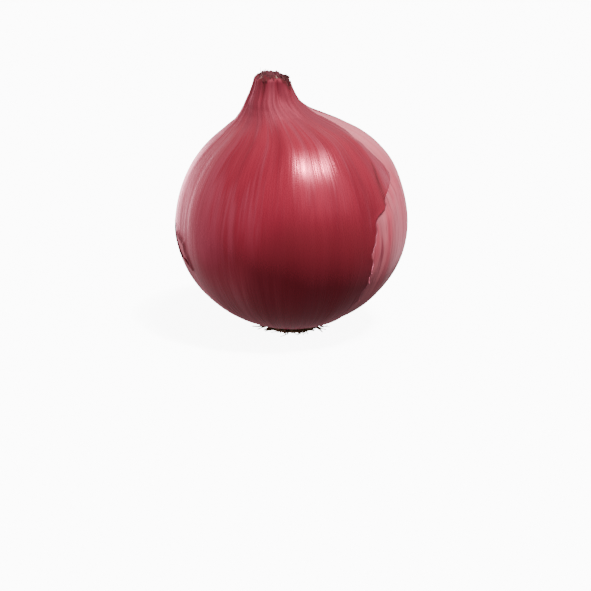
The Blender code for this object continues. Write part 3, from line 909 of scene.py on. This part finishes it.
class ONION_OT_bulb(bpy.types.Operator):
    """Grow the fleshy bulb in its inner skin, with the dried core of its neck"""

    bl_idname = "onion.bulb"
    bl_label = "Bulb"

    columns = 300
    body_rings = 96
    neck_rings = 14
    core_rings = 20
    core_top = NECK_TIP_RISE + 0.5 * MM
    core_edge = NECK_TIP_RISE - 1.3 * MM
    most_patch_fill = 0.30 * MM

    def execute(self, context):
        settings = context.scene.onion_bulb
        growth = Growth()
        turned(growth.shaper, self.outline(), self.columns)
        veins = Veins(settings.vein_count, 5)
        for vertex in growth.shaper.verts:
            self.shape_vertex(vertex, growth, settings, veins)
        bmesh.ops.recalc_face_normals(growth.shaper, faces=growth.shaper.faces)
        add_piece("bulb_flesh", growth.shaper, inner_skin_finish(settings), ["bulb"])
        return {"FINISHED"}

    def outline(self):
        """The bulb's outline from the neck's core down to the root plate, as (radius, height)."""
        core_radius = NECK_TIP_RADIUS - CORE_INSET
        points = []
        for i in range(self.core_rings):
            share = i / self.core_rings
            rise = self.core_top + (self.core_edge - self.core_top) * share**3
            points.append(Vector((core_radius * share, EQUATOR_HEIGHT + rise)))
        for i in range(self.neck_rings):
            rise = self.core_edge + (RING_BREAK_RISE - self.core_edge) * (i + 1) / (self.neck_rings + 1)
            inset = BULB_INSET + (CORE_INSET - BULB_INSET) * smooth_step(*CORE_INSET_RISES, rise)
            points.append(outline_point(rise, inset))
        top_angle = math.asin(RING_BREAK_RISE / UPPER_RISE)
        rim_angle = -math.acos(BULB_RIM_RADIUS / EQUATOR_RADIUS)
        for i in range(self.body_rings + 1):
            angle = top_angle + (rim_angle - top_angle) * i / self.body_rings
            depth = UPPER_RISE if angle > 0.0 else LOWER_DEPTH
            points.append(outline_point(depth * math.sin(angle), BULB_INSET))
        rim = points[-1]
        points.append(Vector((0.95 * rim.x, PLATE_HEIGHT)))
        points.append(Vector((0.0, PLATE_HEIGHT)))
        return points

    def shape_vertex(self, vertex, growth, settings, veins):
        """Moves a point of the plain turned bulb to its grown place."""
        radius = vertex.co.xy.length
        height = vertex.co.z
        rise = height - EQUATOR_HEIGHT
        azimuth = azimuth_of(vertex.co)
        body = between((-0.9 * LOWER_DEPTH, -0.75 * LOWER_DEPTH), (RING_BREAK_RISE, FOLD_END), rise)
        vein = veins.height(azimuth, rise) * body
        radius += settings.vein_relief * vein + settings.fullness * self.fullness(azimuth, rise)
        radius += self.most_patch_fill * self.patch_fill(azimuth, rise)
        if rise > RING_BREAK_RISE:
            sunk, _ = crease(azimuth, rise)
            radius -= sunk * min(1.0, radius / NECK_TIP_RADIUS)
            height += smooth_step(FOLD_END, self.core_edge, rise) * self.crumple(azimuth, radius)
        growth.mark(vertex, azimuth, rise, dried=smooth_step(FOLD_START, FOLD_END, rise), vein=vein)
        vertex.co = place(azimuth, radius, height)

    def fullness(self, azimuth, rise):
        """How full the bulb stands in the torn window, from 0 to 1."""
        front, back = window_edges(rise)
        margin = math.radians(1.0)
        slope = math.radians(15.0)
        inside = smooth_step(front + margin, front + margin + slope, azimuth)
        inside *= smooth_step(back - margin, back - margin - slope, azimuth)
        return inside * along_window(rise)

    def patch_fill(self, azimuth, rise):
        """How full the bulb stands in the flaked patch, from 0 to 1."""
        along, across = patch_place(turn_from(azimuth, 0.0), rise)
        depth = patch_half_width(along) - abs(across)
        return smooth_step(-0.4 * MM, 0.9 * MM, depth)

    def crumple(self, azimuth, radius):
        """The shrivelled top of the core, folded in rings as its dried leaves lie."""
        wobble = 3.0 * round_noise(azimuth, 1.6, 0.0, 2)
        rings = math.sin(radius / (0.36 * MM) + wobble)
        lumps = round_noise(azimuth, 2.4, radius / (1.2 * MM), 6)
        tilt = TOP_TILT * radius * math.sin(azimuth)
        return (0.18 * rings + 0.9 * lumps) * MM * smooth_step(0.0, 1.0 * MM, radius) - tilt


class ONION_OT_dry_skin(bpy.types.Operator):
    """Wrap the bulb in its dry skin, torn open down the right and flaked low on the left"""

    bl_idname = "onion.dry_skin"
    bl_label = "Dry skin"

    columns = 296
    body_rings = 118
    neck_rings = 44
    hem_low = -34.6 * MM
    hem_high = -33.2 * MM
    jag_reach = 0.010
    fray_reach = 0.004
    steps_from = 0.82
    tip_dried_rises = (48.3 * MM, 49.9 * MM)

    def execute(self, context):
        settings = context.scene.onion_skin
        growth = Growth()
        rings = self.body_rings + self.neck_rings
        bmesh.ops.create_grid(growth.shaper, x_segments=self.columns, y_segments=rings, size=0.5)
        self.veins = Veins(settings.vein_count, 11)
        self.front_tear = Tear(3)
        self.back_tear = Tear(8)
        in_patch = set()
        for vertex in growth.shaper.verts:
            share = vertex.co.x + 0.5
            rise = self.rise_at(vertex.co.y + 0.5)
            azimuth = self.azimuth_at(share, rise)
            azimuth, rise, depth_in_patch, above = self.fit_to_patch(azimuth, rise)
            if depth_in_patch >= 0.0:
                in_patch.add(vertex)
            self.shape_vertex(vertex, growth, settings, share, azimuth, rise, depth_in_patch, above)
        gone = [face for face in growth.shaper.faces if all(corner in in_patch for corner in face.verts)]
        bmesh.ops.delete(growth.shaper, geom=gone, context="FACES")
        face_outwards(growth.shaper)
        piece = add_piece("dry_skin", growth.shaper, dry_skin_finish(settings), ["outer_skin"])
        add_wall(piece, settings.thickness)
        return {"FINISHED"}

    def rise_at(self, along):
        """The rise at a share of the way from the hem to the tip."""
        ring = along * (self.body_rings + self.neck_rings)
        if ring > self.body_rings:
            share = (ring - self.body_rings) / self.neck_rings
            return RING_BREAK_RISE + (SKIN_TIP_RISE - RING_BREAK_RISE) * share
        low = -math.acos(SKIN_RIM_RADIUS / EQUATOR_RADIUS)
        high = math.asin(RING_BREAK_RISE / UPPER_RISE)
        angle = low + (high - low) * ring / self.body_rings
        return (UPPER_RISE if angle > 0.0 else LOWER_DEPTH) * math.sin(angle)

    def azimuth_at(self, share, rise):
        """The azimuth at a share of the way round from the window's back edge to its front edge."""
        front, back = window_edges(rise)
        calm = 1.0 - 0.7 * smooth_step(0.85 * UPPER_RISE, UPPER_RISE, rise)
        jag = math.exp(-share / self.jag_reach) * self.back_tear.offset(rise)
        jag += math.exp((share - 1.0) / self.jag_reach) * self.front_tear.offset(rise)
        fray = line_noise(rise / (0.9 * MM), 5.0 * share, 2.0)
        fray *= math.exp(-share / self.fray_reach) + math.exp((share - 1.0) / self.fray_reach)
        steady = math.radians(bent(STEADY_FRONT, WINDOW_FRONT_BENDS[-2:], rise))
        stepped = (front - steady) * smooth_step(self.steps_from, 1.0, share)
        worn = math.radians(1.2 * jag + 0.4 * fray) * calm
        return back + share * (TAU + steady - back) + stepped + worn

    def fit_to_patch(self, azimuth, rise):
        """Snaps a place near the flaked patch's edge onto it, and gives its depth inside and its side."""
        turned_azimuth = turn_from(azimuth, 0.0)
        along, across = patch_place(turned_azimuth, rise)
        if abs(along) > 0.5 * PATCH_LENGTH or abs(across) > PATCH_WIDTH:
            return azimuth, rise, -PATCH_WIDTH, False
        half_width = patch_half_width(along)
        depth = half_width - abs(across)
        if abs(depth) > 0.45 * MM:
            return azimuth, rise, depth, across > 0.0
        moved = Matrix.Rotation(PATCH_SLANT, 2) @ Vector((along, math.copysign(half_width, across)))
        new_azimuth = PATCH_AZIMUTH + moved.x / reference_radius(PATCH_RISE)
        return azimuth + new_azimuth - turned_azimuth, PATCH_RISE + moved.y, 0.0, across > 0.0

    def relief(self, azimuth, rise, settings, body, calm):
        """How far dents, narrow ribs, lifted places and wrinkles stand out; calm stills the wrinkles."""
        rough = 1.0 - 0.85 * blobs(SMOOTH_PLACES, azimuth, rise)
        dents = round_noise(azimuth, 3.2, rise / (16.0 * MM), 4)
        dents += 0.5 * rough * round_noise(azimuth, 7.5, rise / (13.0 * MM), 8)
        narrow = rough * round_noise(azimuth, 15.0, rise / (30.0 * MM), 12)
        lift = (settings.dents * dents + 0.09 * MM * narrow) * body + blobs(SKIN_LIFTS, azimuth, rise)
        wrinkle = smooth_step(0.84 * UPPER_RISE, FOLD_END, rise) * calm
        lift += wrinkle * 0.32 * MM * round_noise(azimuth, 2.6, rise / (9.0 * MM), 1)
        return lift + wrinkle * 0.34 * MM * round_noise(azimuth, 7.0, rise / (12.0 * MM), 2)

    def shape_vertex(self, vertex, growth, settings, share, azimuth, rise, depth_in_patch, above):
        """Moves a point of the flat sheet to its place on the onion."""
        body = smooth_step(-0.95 * LOWER_DEPTH, -0.8 * LOWER_DEPTH, rise)
        body *= 1.0 - 0.6 * smooth_step(RING_BREAK_RISE, FOLD_END, rise)
        vein = self.veins.height(azimuth, rise) * body * (1.0 - 0.7 * blobs(SMOOTH_PLACES, azimuth, rise))
        sunk, crease_shade = crease(azimuth, rise) if rise > RING_BREAK_RISE else (0.0, 0.0)
        edge_gap = min(share, 1.0 - share) * TAU * reference_radius(rise)
        calm = smooth_step(0.5 * MM, 4.0 * MM, edge_gap)
        lift = settings.vein_relief * vein + self.relief(azimuth, rise, settings, body, calm) - sunk
        hugging = near(edge_gap, 1.5 * MM) * smooth_step(22.0 * MM, 32.0 * MM, rise)
        lift -= 0.40 * MM * hugging

        curl = near(edge_gap, 2.2 * MM) * along_window(rise) * (0.6 if share < 0.5 else 1.0)
        curl *= 1.0 + 1.2 * line_noise(rise / (4.0 * MM), 9.0 * share)
        above = smooth_step(0.6 * MM, -1.4 * MM, rise) if above else 0.0
        lift += (0.10 + 0.50 * above) * MM * near(depth_in_patch, 1.2 * MM)

        # Torn edges and the hem are darkened; along the window's edges and the flaked patch's upper edge this
        # is partly painted shadow of the lifted edge
        dark_edge_share = 1.0 if share > 0.5 else 1.0 - smooth_step(8.0 * MM, 16.0 * MM, rise)
        torn = max(
            0.55 * near(edge_gap, 0.5 * MM) * dark_edge_share,
            above * near(depth_in_patch, 1.8 * MM),
            0.5 * smooth_step(self.hem_high, self.hem_low, rise),
        )
        # Dried brown, with painted shade on the neck's left side
        dried = blobs(DRIED_AND_SHADE_PLACES, azimuth, rise)
        ragged_rise = rise + 1.6 * MM * round_noise(azimuth, 5.0, 0.0, 33)
        dried += 0.9 * smooth_step(*self.tip_dried_rises, ragged_rise)
        tone = blobs(TONES, azimuth, rise)
        fold_shadow = painted_fold_shadow(azimuth, rise)

        tip = ragged(azimuth, 0) + frayed(azimuth, 0) + blobs(TIP_LIFTS, azimuth, 0.0)
        up = tip * smooth_step(TEAR_START_RISE, SKIN_TIP_RISE, rise)
        hem = 1.6 * MM * round_noise(azimuth, 9.0, 0.0, 21) * smooth_step(self.hem_high, self.hem_low, rise)
        growth.mark(vertex, azimuth, rise, torn, min(1.0, dried), vein, tone, crease_shade, fold_shadow)
        vertex.co = over_top(azimuth, rise + up + hem, -lift - settings.curl * curl)


class ONION_OT_neck(bpy.types.Operator):
    """Dry the nested sheaths of the neck and fray their tips"""

    bl_idname = "onion.neck"
    bl_label = "Neck"

    columns = 300
    rings = 26
    tatter_rises = (48.6 * MM, 51.6 * MM)
    tatter_lengths = (0.9 * MM, 2.2 * MM)
    tatter_widths = (0.35 * MM, 1.3 * MM)
    tatter_thickness = 0.08 * MM

    def execute(self, context):
        settings = context.scene.onion_neck
        material = dry_sheath_finish(settings)
        for index, inset in enumerate(SHEATH_INSETS):
            self.make_sheath(index, inset, settings, material)
        self.make_tatters(settings, material)
        return {"FINISHED"}

    def make_sheath(self, index, inset, settings, material):
        """One leaf sheath nested inside the skin, crinkled, with a ragged tip."""
        growth = Growth()
        tip = NECK_TIP_RISE + 0.2 * MM + 0.5 * MM * index
        rises = [tip + (SHEATH_FOOT_RISE - tip) * i / self.rings for i in range(self.rings + 1)]
        turned(growth.shaper, [outline_point(rise, inset) for rise in rises], self.columns)
        for vertex in growth.shaper.verts:
            azimuth = azimuth_of(vertex.co)
            rise = vertex.co.z - EQUATOR_HEIGHT
            near_tip = smooth_step(TEAR_START_RISE, tip, rise)
            up = (ragged(azimuth, index + 1) + 1.3 * frayed(azimuth, index + 1)) * near_tip
            crinkle = 0.28 * round_noise(azimuth, 3.5, rise / (3.0 * MM), 30 + index)
            crinkle += 0.20 * round_noise(azimuth, 9.0, rise / (2.2 * MM), 40 + index)
            sunk, _ = crease(azimuth, rise)
            growth.mark(vertex, azimuth, rise, smooth_step(tip - 2.5 * MM, tip, rise))
            vertex.co = over_top(azimuth, rise + up, inset + sunk - crinkle * MM * near_tip)
        face_outwards(growth.shaper)
        node = f"neck_sheath_{index + 1}"
        piece = add_piece(f"neck_leaf_{index + 1}", growth.shaper, material, [node])
        add_wall(piece, settings.thickness)

    def make_tatters(self, settings, material):
        """Thin torn strips that lie over the top of the neck, and one that stands up on the left."""
        growth = Growth()
        draw = random.Random(19)
        for index in range(settings.tatter_count):
            azimuth = TAU * (index + draw.uniform(-0.4, 0.4)) / settings.tatter_count
            rise = draw.uniform(*self.tatter_rises)
            length = draw.uniform(*self.tatter_lengths)
            width = draw.uniform(*self.tatter_widths)
            self.make_tatter(growth, draw, azimuth, rise, length, width, draw.uniform(0.0, 0.35))
        self.make_tatter(growth, draw, math.radians(-62.0), 51.0 * MM, 2.6 * MM, 0.34 * MM, 1.0)
        face_outwards(growth.shaper)
        piece = add_piece("neck_tatters", growth.shaper, material)
        add_wall(piece, self.tatter_thickness)

    def make_tatter(self, growth, draw, azimuth, rise, length, width, upright):
        """One strip that narrows to its tip; upright is 0 along the neck's closing top and 1 straight up."""
        seed = draw.uniform(0.0, 50.0)
        bleached = draw.random()
        inset = draw.uniform(-0.15, 0.55) * MM
        sunk, _ = crease(azimuth, rise)
        turn = draw.uniform(-0.5, 0.5)
        strip = bmesh.ops.create_grid(growth.shaper, x_segments=3, y_segments=7, size=0.5)["verts"]
        for vertex in strip:
            along = vertex.co.y + 0.5
            across = vertex.co.x * width * (1.0 - 0.8 * along**1.5)
            across += (0.35 * line_noise(3.0 * along, seed) + turn * along) * MM * along
            cup = 0.5 * width * vertex.co.x**2 - 0.25 * MM * line_noise(2.5 * along, seed, 7.0)
            around = azimuth + across / NECK_TIP_RADIUS
            lying = over_top(around, rise + along * length, inset + sunk + cup)
            standing = over_top(around, rise, inset + sunk) + Vector((0.0, 0.0, along * length))
            growth.mark(vertex, around, rise, 0.2 + 0.7 * along, tone=bleached)
            vertex.co = lying.lerp(standing, upright)


class ONION_OT_roots(bpy.types.Operator):
    """Form the corky root plate and lay its trimmed roots round it"""

    bl_idname = "onion.roots"
    bl_label = "Roots"

    columns = 180
    sides = 5
    joints = 6
    starts = (6.6 * MM, 8.4 * MM)
    tops = (0.5 * MM, 1.9 * MM)
    ends = (0.15 * MM, 1.3 * MM)
    shortest_reach = 1.2 * MM
    longest_reach = 5.4 * MM
    clearance = 0.08 * MM

    def execute(self, context):
        settings = context.scene.onion_roots
        self.make_plate(cork_finish(settings))
        self.make_roots(settings, root_finish(settings))
        return {"FINISHED"}

    def make_plate(self, material):
        """The plate: flat where it stands, crumbly round its edge, sunk into the bulb above."""
        growth = Growth()
        edge = 0.9 * PLATE_RADIUS
        outline = [Vector((edge * i / 8, PLATE_HEIGHT + PLATE_SUNK)) for i in range(9)]
        for i in range(1, 9):
            angle = 0.5 * math.pi - math.pi * i / 9
            out = (PLATE_RADIUS - edge) * math.cos(angle)
            outline.append(Vector((edge + out, 0.5 * PLATE_HEIGHT * (1.0 + math.sin(angle)))))
        outline += [Vector((PLATE_FLAT_RADIUS * (12 - i) / 12, 0.0)) for i in range(13)]
        turned(growth.shaper, outline, self.columns)
        for vertex in growth.shaper.verts:
            azimuth = azimuth_of(vertex.co)
            distance = vertex.co.xy.length
            side = smooth_step(PLATE_FLAT_RADIUS, edge, distance)
            crumb = round_noise(azimuth, 6.0, vertex.co.z / (0.7 * MM), 3)
            crumb += 0.6 * round_noise(azimuth, 17.0, 0.0, 5)
            rings = 0.5 + 0.5 * math.sin(distance / (0.5 * MM) + 3.0 * round_noise(azimuth, 2.0, 0.0, 7))
            under = 1.0 - smooth_step(0.05 * MM, 0.4 * MM, vertex.co.z)
            pits = max(0.0, rings * 0.20 + 0.9 * noise.noise(vertex.co * 900.0)) * MM * under
            pits *= smooth_step(0.0, 0.8 * MM, PLATE_FLAT_RADIUS - distance)
            pits *= smooth_step(0.0, 1.0 * MM, distance)
            growth.mark(vertex, azimuth, distance)
            vertex.co.xy *= 1.0 + 0.09 * crumb * side
            vertex.co.z += pits
        bmesh.ops.recalc_face_normals(growth.shaper, faces=growth.shaper.faces)
        add_piece("root_cork", growth.shaper, material, ["root_plate"])

    def make_roots(self, settings, material):
        """Wiry dry roots, cut short, that leave the plate's edge and lie along the surface below."""
        growth = Growth()
        draw = random.Random(7)
        for index in range(settings.root_count):
            thick = draw.uniform(settings.thinnest, settings.thickest)
            route = self.route(draw, index / settings.root_count, thick)
            self.make_root(growth, route, thick)
        bmesh.ops.recalc_face_normals(growth.shaper, faces=growth.shaper.faces)
        add_piece("dry_roots", growth.shaper, material)

    def route(self, draw, turn, thick):
        """The points along one root."""
        azimuth = TAU * (turn + draw.uniform(-0.01, 0.01))
        start = draw.uniform(*self.starts)
        reach = self.shortest_reach + (self.longest_reach - self.shortest_reach) * draw.random() ** 1.7
        top = draw.uniform(*self.tops)
        end_height = draw.uniform(*self.ends) + thick
        swing = draw.uniform(-0.22, 0.22)
        kink = draw.uniform(-0.35, 0.35) * MM
        points = []
        for i in range(self.joints):
            share = i / (self.joints - 1)
            around = azimuth + swing * share * share
            away = start + (PLATE_RADIUS - start + reach) * share
            height = max(thick + self.clearance, top + (end_height - top) * share**1.4)
            out = Vector((math.sin(around), -math.cos(around), 0.0))
            side = Vector((-out.y, out.x, 0.0))
            points.append(out * away + side * kink * math.sin(math.pi * share) + Vector((0.0, 0.0, height)))
        return points

    def make_root(self, growth, route, thick):
        """A tapered tube along the route, closed at both ends."""
        shaper = growth.shaper
        ring = bmesh.ops.create_circle(shaper, cap_ends=True, segments=self.sides, radius=thick)["verts"]
        flat = [vertex.co.copy() for vertex in ring]
        face = ring[0].link_faces[0]
        last = len(route) - 1
        for step, point in enumerate(route):
            if step > 0:
                grown = bmesh.ops.extrude_discrete_faces(shaper, faces=[face])["faces"]
                face = grown[0]
            corners = list(face.verts)
            ahead = route[min(step + 1, last)] - route[max(step - 1, 0)]
            turn = ahead.to_track_quat("Z", "X").to_matrix()
            taper = 1.0 - 0.5 * step / last
            for corner, spot in zip(corners, flat):
                corner.co = point + turn @ (spot * taper)
                growth.mark(corner, 0.0, 0.0, torn=step / last)


class ONION_OT_stage(bpy.types.Operator):
    """Set the floor, the soft lights and the camera"""

    bl_idname = "onion.stage"
    bl_label = "Stage"

    floor_radius = 12.0

    def execute(self, context):
        settings = context.scene.onion_stage
        self.make_floor(settings)
        self.make_lights(context, settings)
        self.make_camera(context, settings)
        return {"FINISHED"}

    def make_floor(self, settings):
        """A pale, softly lit floor that throws no light back on the onion."""
        shaper = bmesh.new()
        bmesh.ops.create_circle(shaper, cap_ends=True, segments=96, radius=self.floor_radius)
        mesh = bpy.data.meshes.new("floor")
        shaper.to_mesh(mesh)
        shaper.free()
        surface = Paint("floor").finish(
            Base_Color=settings.floor,
            Roughness=0.9,
            Specular_IOR_Level=0.0,
            Emission_Color=WHITE,
            Emission_Strength=settings.glow,
        )
        mesh.materials.append(surface)
        floor = bpy.data.objects.new("floor", mesh)
        floor.visible_diffuse = False
        floor.visible_glossy = False
        floor.visible_shadow = False
        bpy.context.scene.collection.objects.link(floor)

    def make_lights(self, context, settings):
        """A high sun with a small bright one in it, and a disc behind on the left and high on the right."""
        for name, place_from_middle, strength, angle in (
            ("key", KEY_PLACE, settings.key_strength, settings.key_angle),
            ("spark", SPARK_PLACE, settings.spark_strength, SPARK_ANGLE),
        ):
            sun = bpy.data.lights.new(name, "SUN")
            sun.energy = strength
            sun.angle = angle
            self.aim(context, sun, place_from_middle)
        for name, place_from_middle, power, size, colour in (
            ("left", LEFT_PLACE, settings.side_power, LEFT_SIZE, settings.blush_light),
            ("right", RIGHT_PLACE, settings.fill_power, RIGHT_SIZE, WHITE),
        ):
            disc = bpy.data.lights.new(name, "AREA")
            disc.shape = "DISK"
            disc.energy = power
            disc.size = size
            disc.color = colour
            self.aim(context, disc, place_from_middle)
        context.scene.world = self.make_sky(settings)

    def make_sky(self, settings):
        """White light from above, fading to little from below, and a blushing glow behind and on the left."""
        paint = Paint("sky", bpy.data.worlds.new("sky"))
        way = paint.node("ShaderNodeTexCoord", {}, {}, "Generated")
        aside, behind, up = paint.parts(way)
        even = up.ramp(-0.25, 0.45) * (settings.sky - settings.haze) + settings.haze
        level = up.ramp(-0.5, -0.15) * (1.0 - up.ramp(-0.05, 0.35))
        glow = behind.ramp(0.15, 0.85) * level * settings.backdrop
        glow += aside.ramp(-0.2, -0.9) * (1.0 - up.ramp(0.0, 0.5)) * settings.side_glow
        colour = paint.mix(glow.limited(), WHITE, settings.blush_light)
        return paint.finish(Color=colour, Strength=even + glow)

    def aim(self, context, light, place_from_middle):
        """Hangs a light there and turns it to the onion's middle."""
        lamp = bpy.data.objects.new(light.name, light)
        lamp.location = MIDDLE + place_from_middle
        lamp.rotation_mode = "QUATERNION"
        lamp.rotation_quaternion = (-place_from_middle).to_track_quat("-Z", "Y")
        context.scene.collection.objects.link(lamp)

    def make_camera(self, context, settings):
        """The camera, aimed so that the onion's middle stands at its own place in the picture."""
        width = 2.0 * EQUATOR_RADIUS * WIDTH_SHARE
        focal = settings.distance * settings.width_in_picture / width
        camera = bpy.data.cameras.new("camera")
        camera.sensor_width = 36.0
        camera.lens = focal * camera.sensor_width / PICTURE_SIZE
        camera.clip_start = 0.01
        holder = bpy.data.objects.new("camera", camera)
        back = Vector((0.0, -math.cos(settings.elevation), math.sin(settings.elevation)))
        holder.location = MIDDLE + settings.distance * back
        down = math.atan((0.5 * PICTURE_SIZE - ONION_ROW) / focal)
        aside = math.atan((0.5 * PICTURE_SIZE - ONION_COLUMN) / focal)
        look = Matrix.Rotation(0.5 * math.pi - settings.elevation - down, 4, "X")
        holder.rotation_mode = "QUATERNION"
        holder.rotation_quaternion = (look @ Matrix.Rotation(-aside, 4, "Y")).to_quaternion()
        context.scene.collection.objects.link(holder)
        context.scene.camera = holder


class ONION_PT_pieces(bpy.types.Panel):
    """The onion's pieces and their settings"""

    bl_idname = "ONION_PT_pieces"
    bl_label = "Red Onion"
    bl_space_type = "VIEW_3D"
    bl_region_type = "UI"
    bl_category = "Onion"

    def draw(self, context):
        for maker, name in zip(MAKERS, SETTINGS):
            box = self.layout.box()
            box.operator(maker.bl_idname)
            group = getattr(context.scene, name)
            for key in type(group).__annotations__:
                box.prop(group, key)


SETTINGS = {
    "onion_bulb": BulbSettings,
    "onion_skin": SkinSettings,
    "onion_neck": NeckSettings,
    "onion_roots": RootSettings,
    "onion_stage": StageSettings,
}
MAKERS = (ONION_OT_bulb, ONION_OT_dry_skin, ONION_OT_neck, ONION_OT_roots, ONION_OT_stage)


def register():
    for group in SETTINGS.values():
        bpy.utils.register_class(group)
    for maker in MAKERS:
        bpy.utils.register_class(maker)
    bpy.utils.register_class(ONION_PT_pieces)
    for name, group in SETTINGS.items():
        setattr(bpy.types.Scene, name, bpy.props.PointerProperty(type=group))


def unregister():
    for name in SETTINGS:
        delattr(bpy.types.Scene, name)
    bpy.utils.unregister_class(ONION_PT_pieces)
    for maker in reversed(MAKERS):
        bpy.utils.unregister_class(maker)
    for group in reversed(list(SETTINGS.values())):
        bpy.utils.unregister_class(group)


def main():
    register()
    bpy.ops.onion.bulb()
    bpy.ops.onion.dry_skin()
    bpy.ops.onion.neck()
    bpy.ops.onion.roots()
    bpy.ops.onion.stage()


if __name__ == "__main__":
    main()
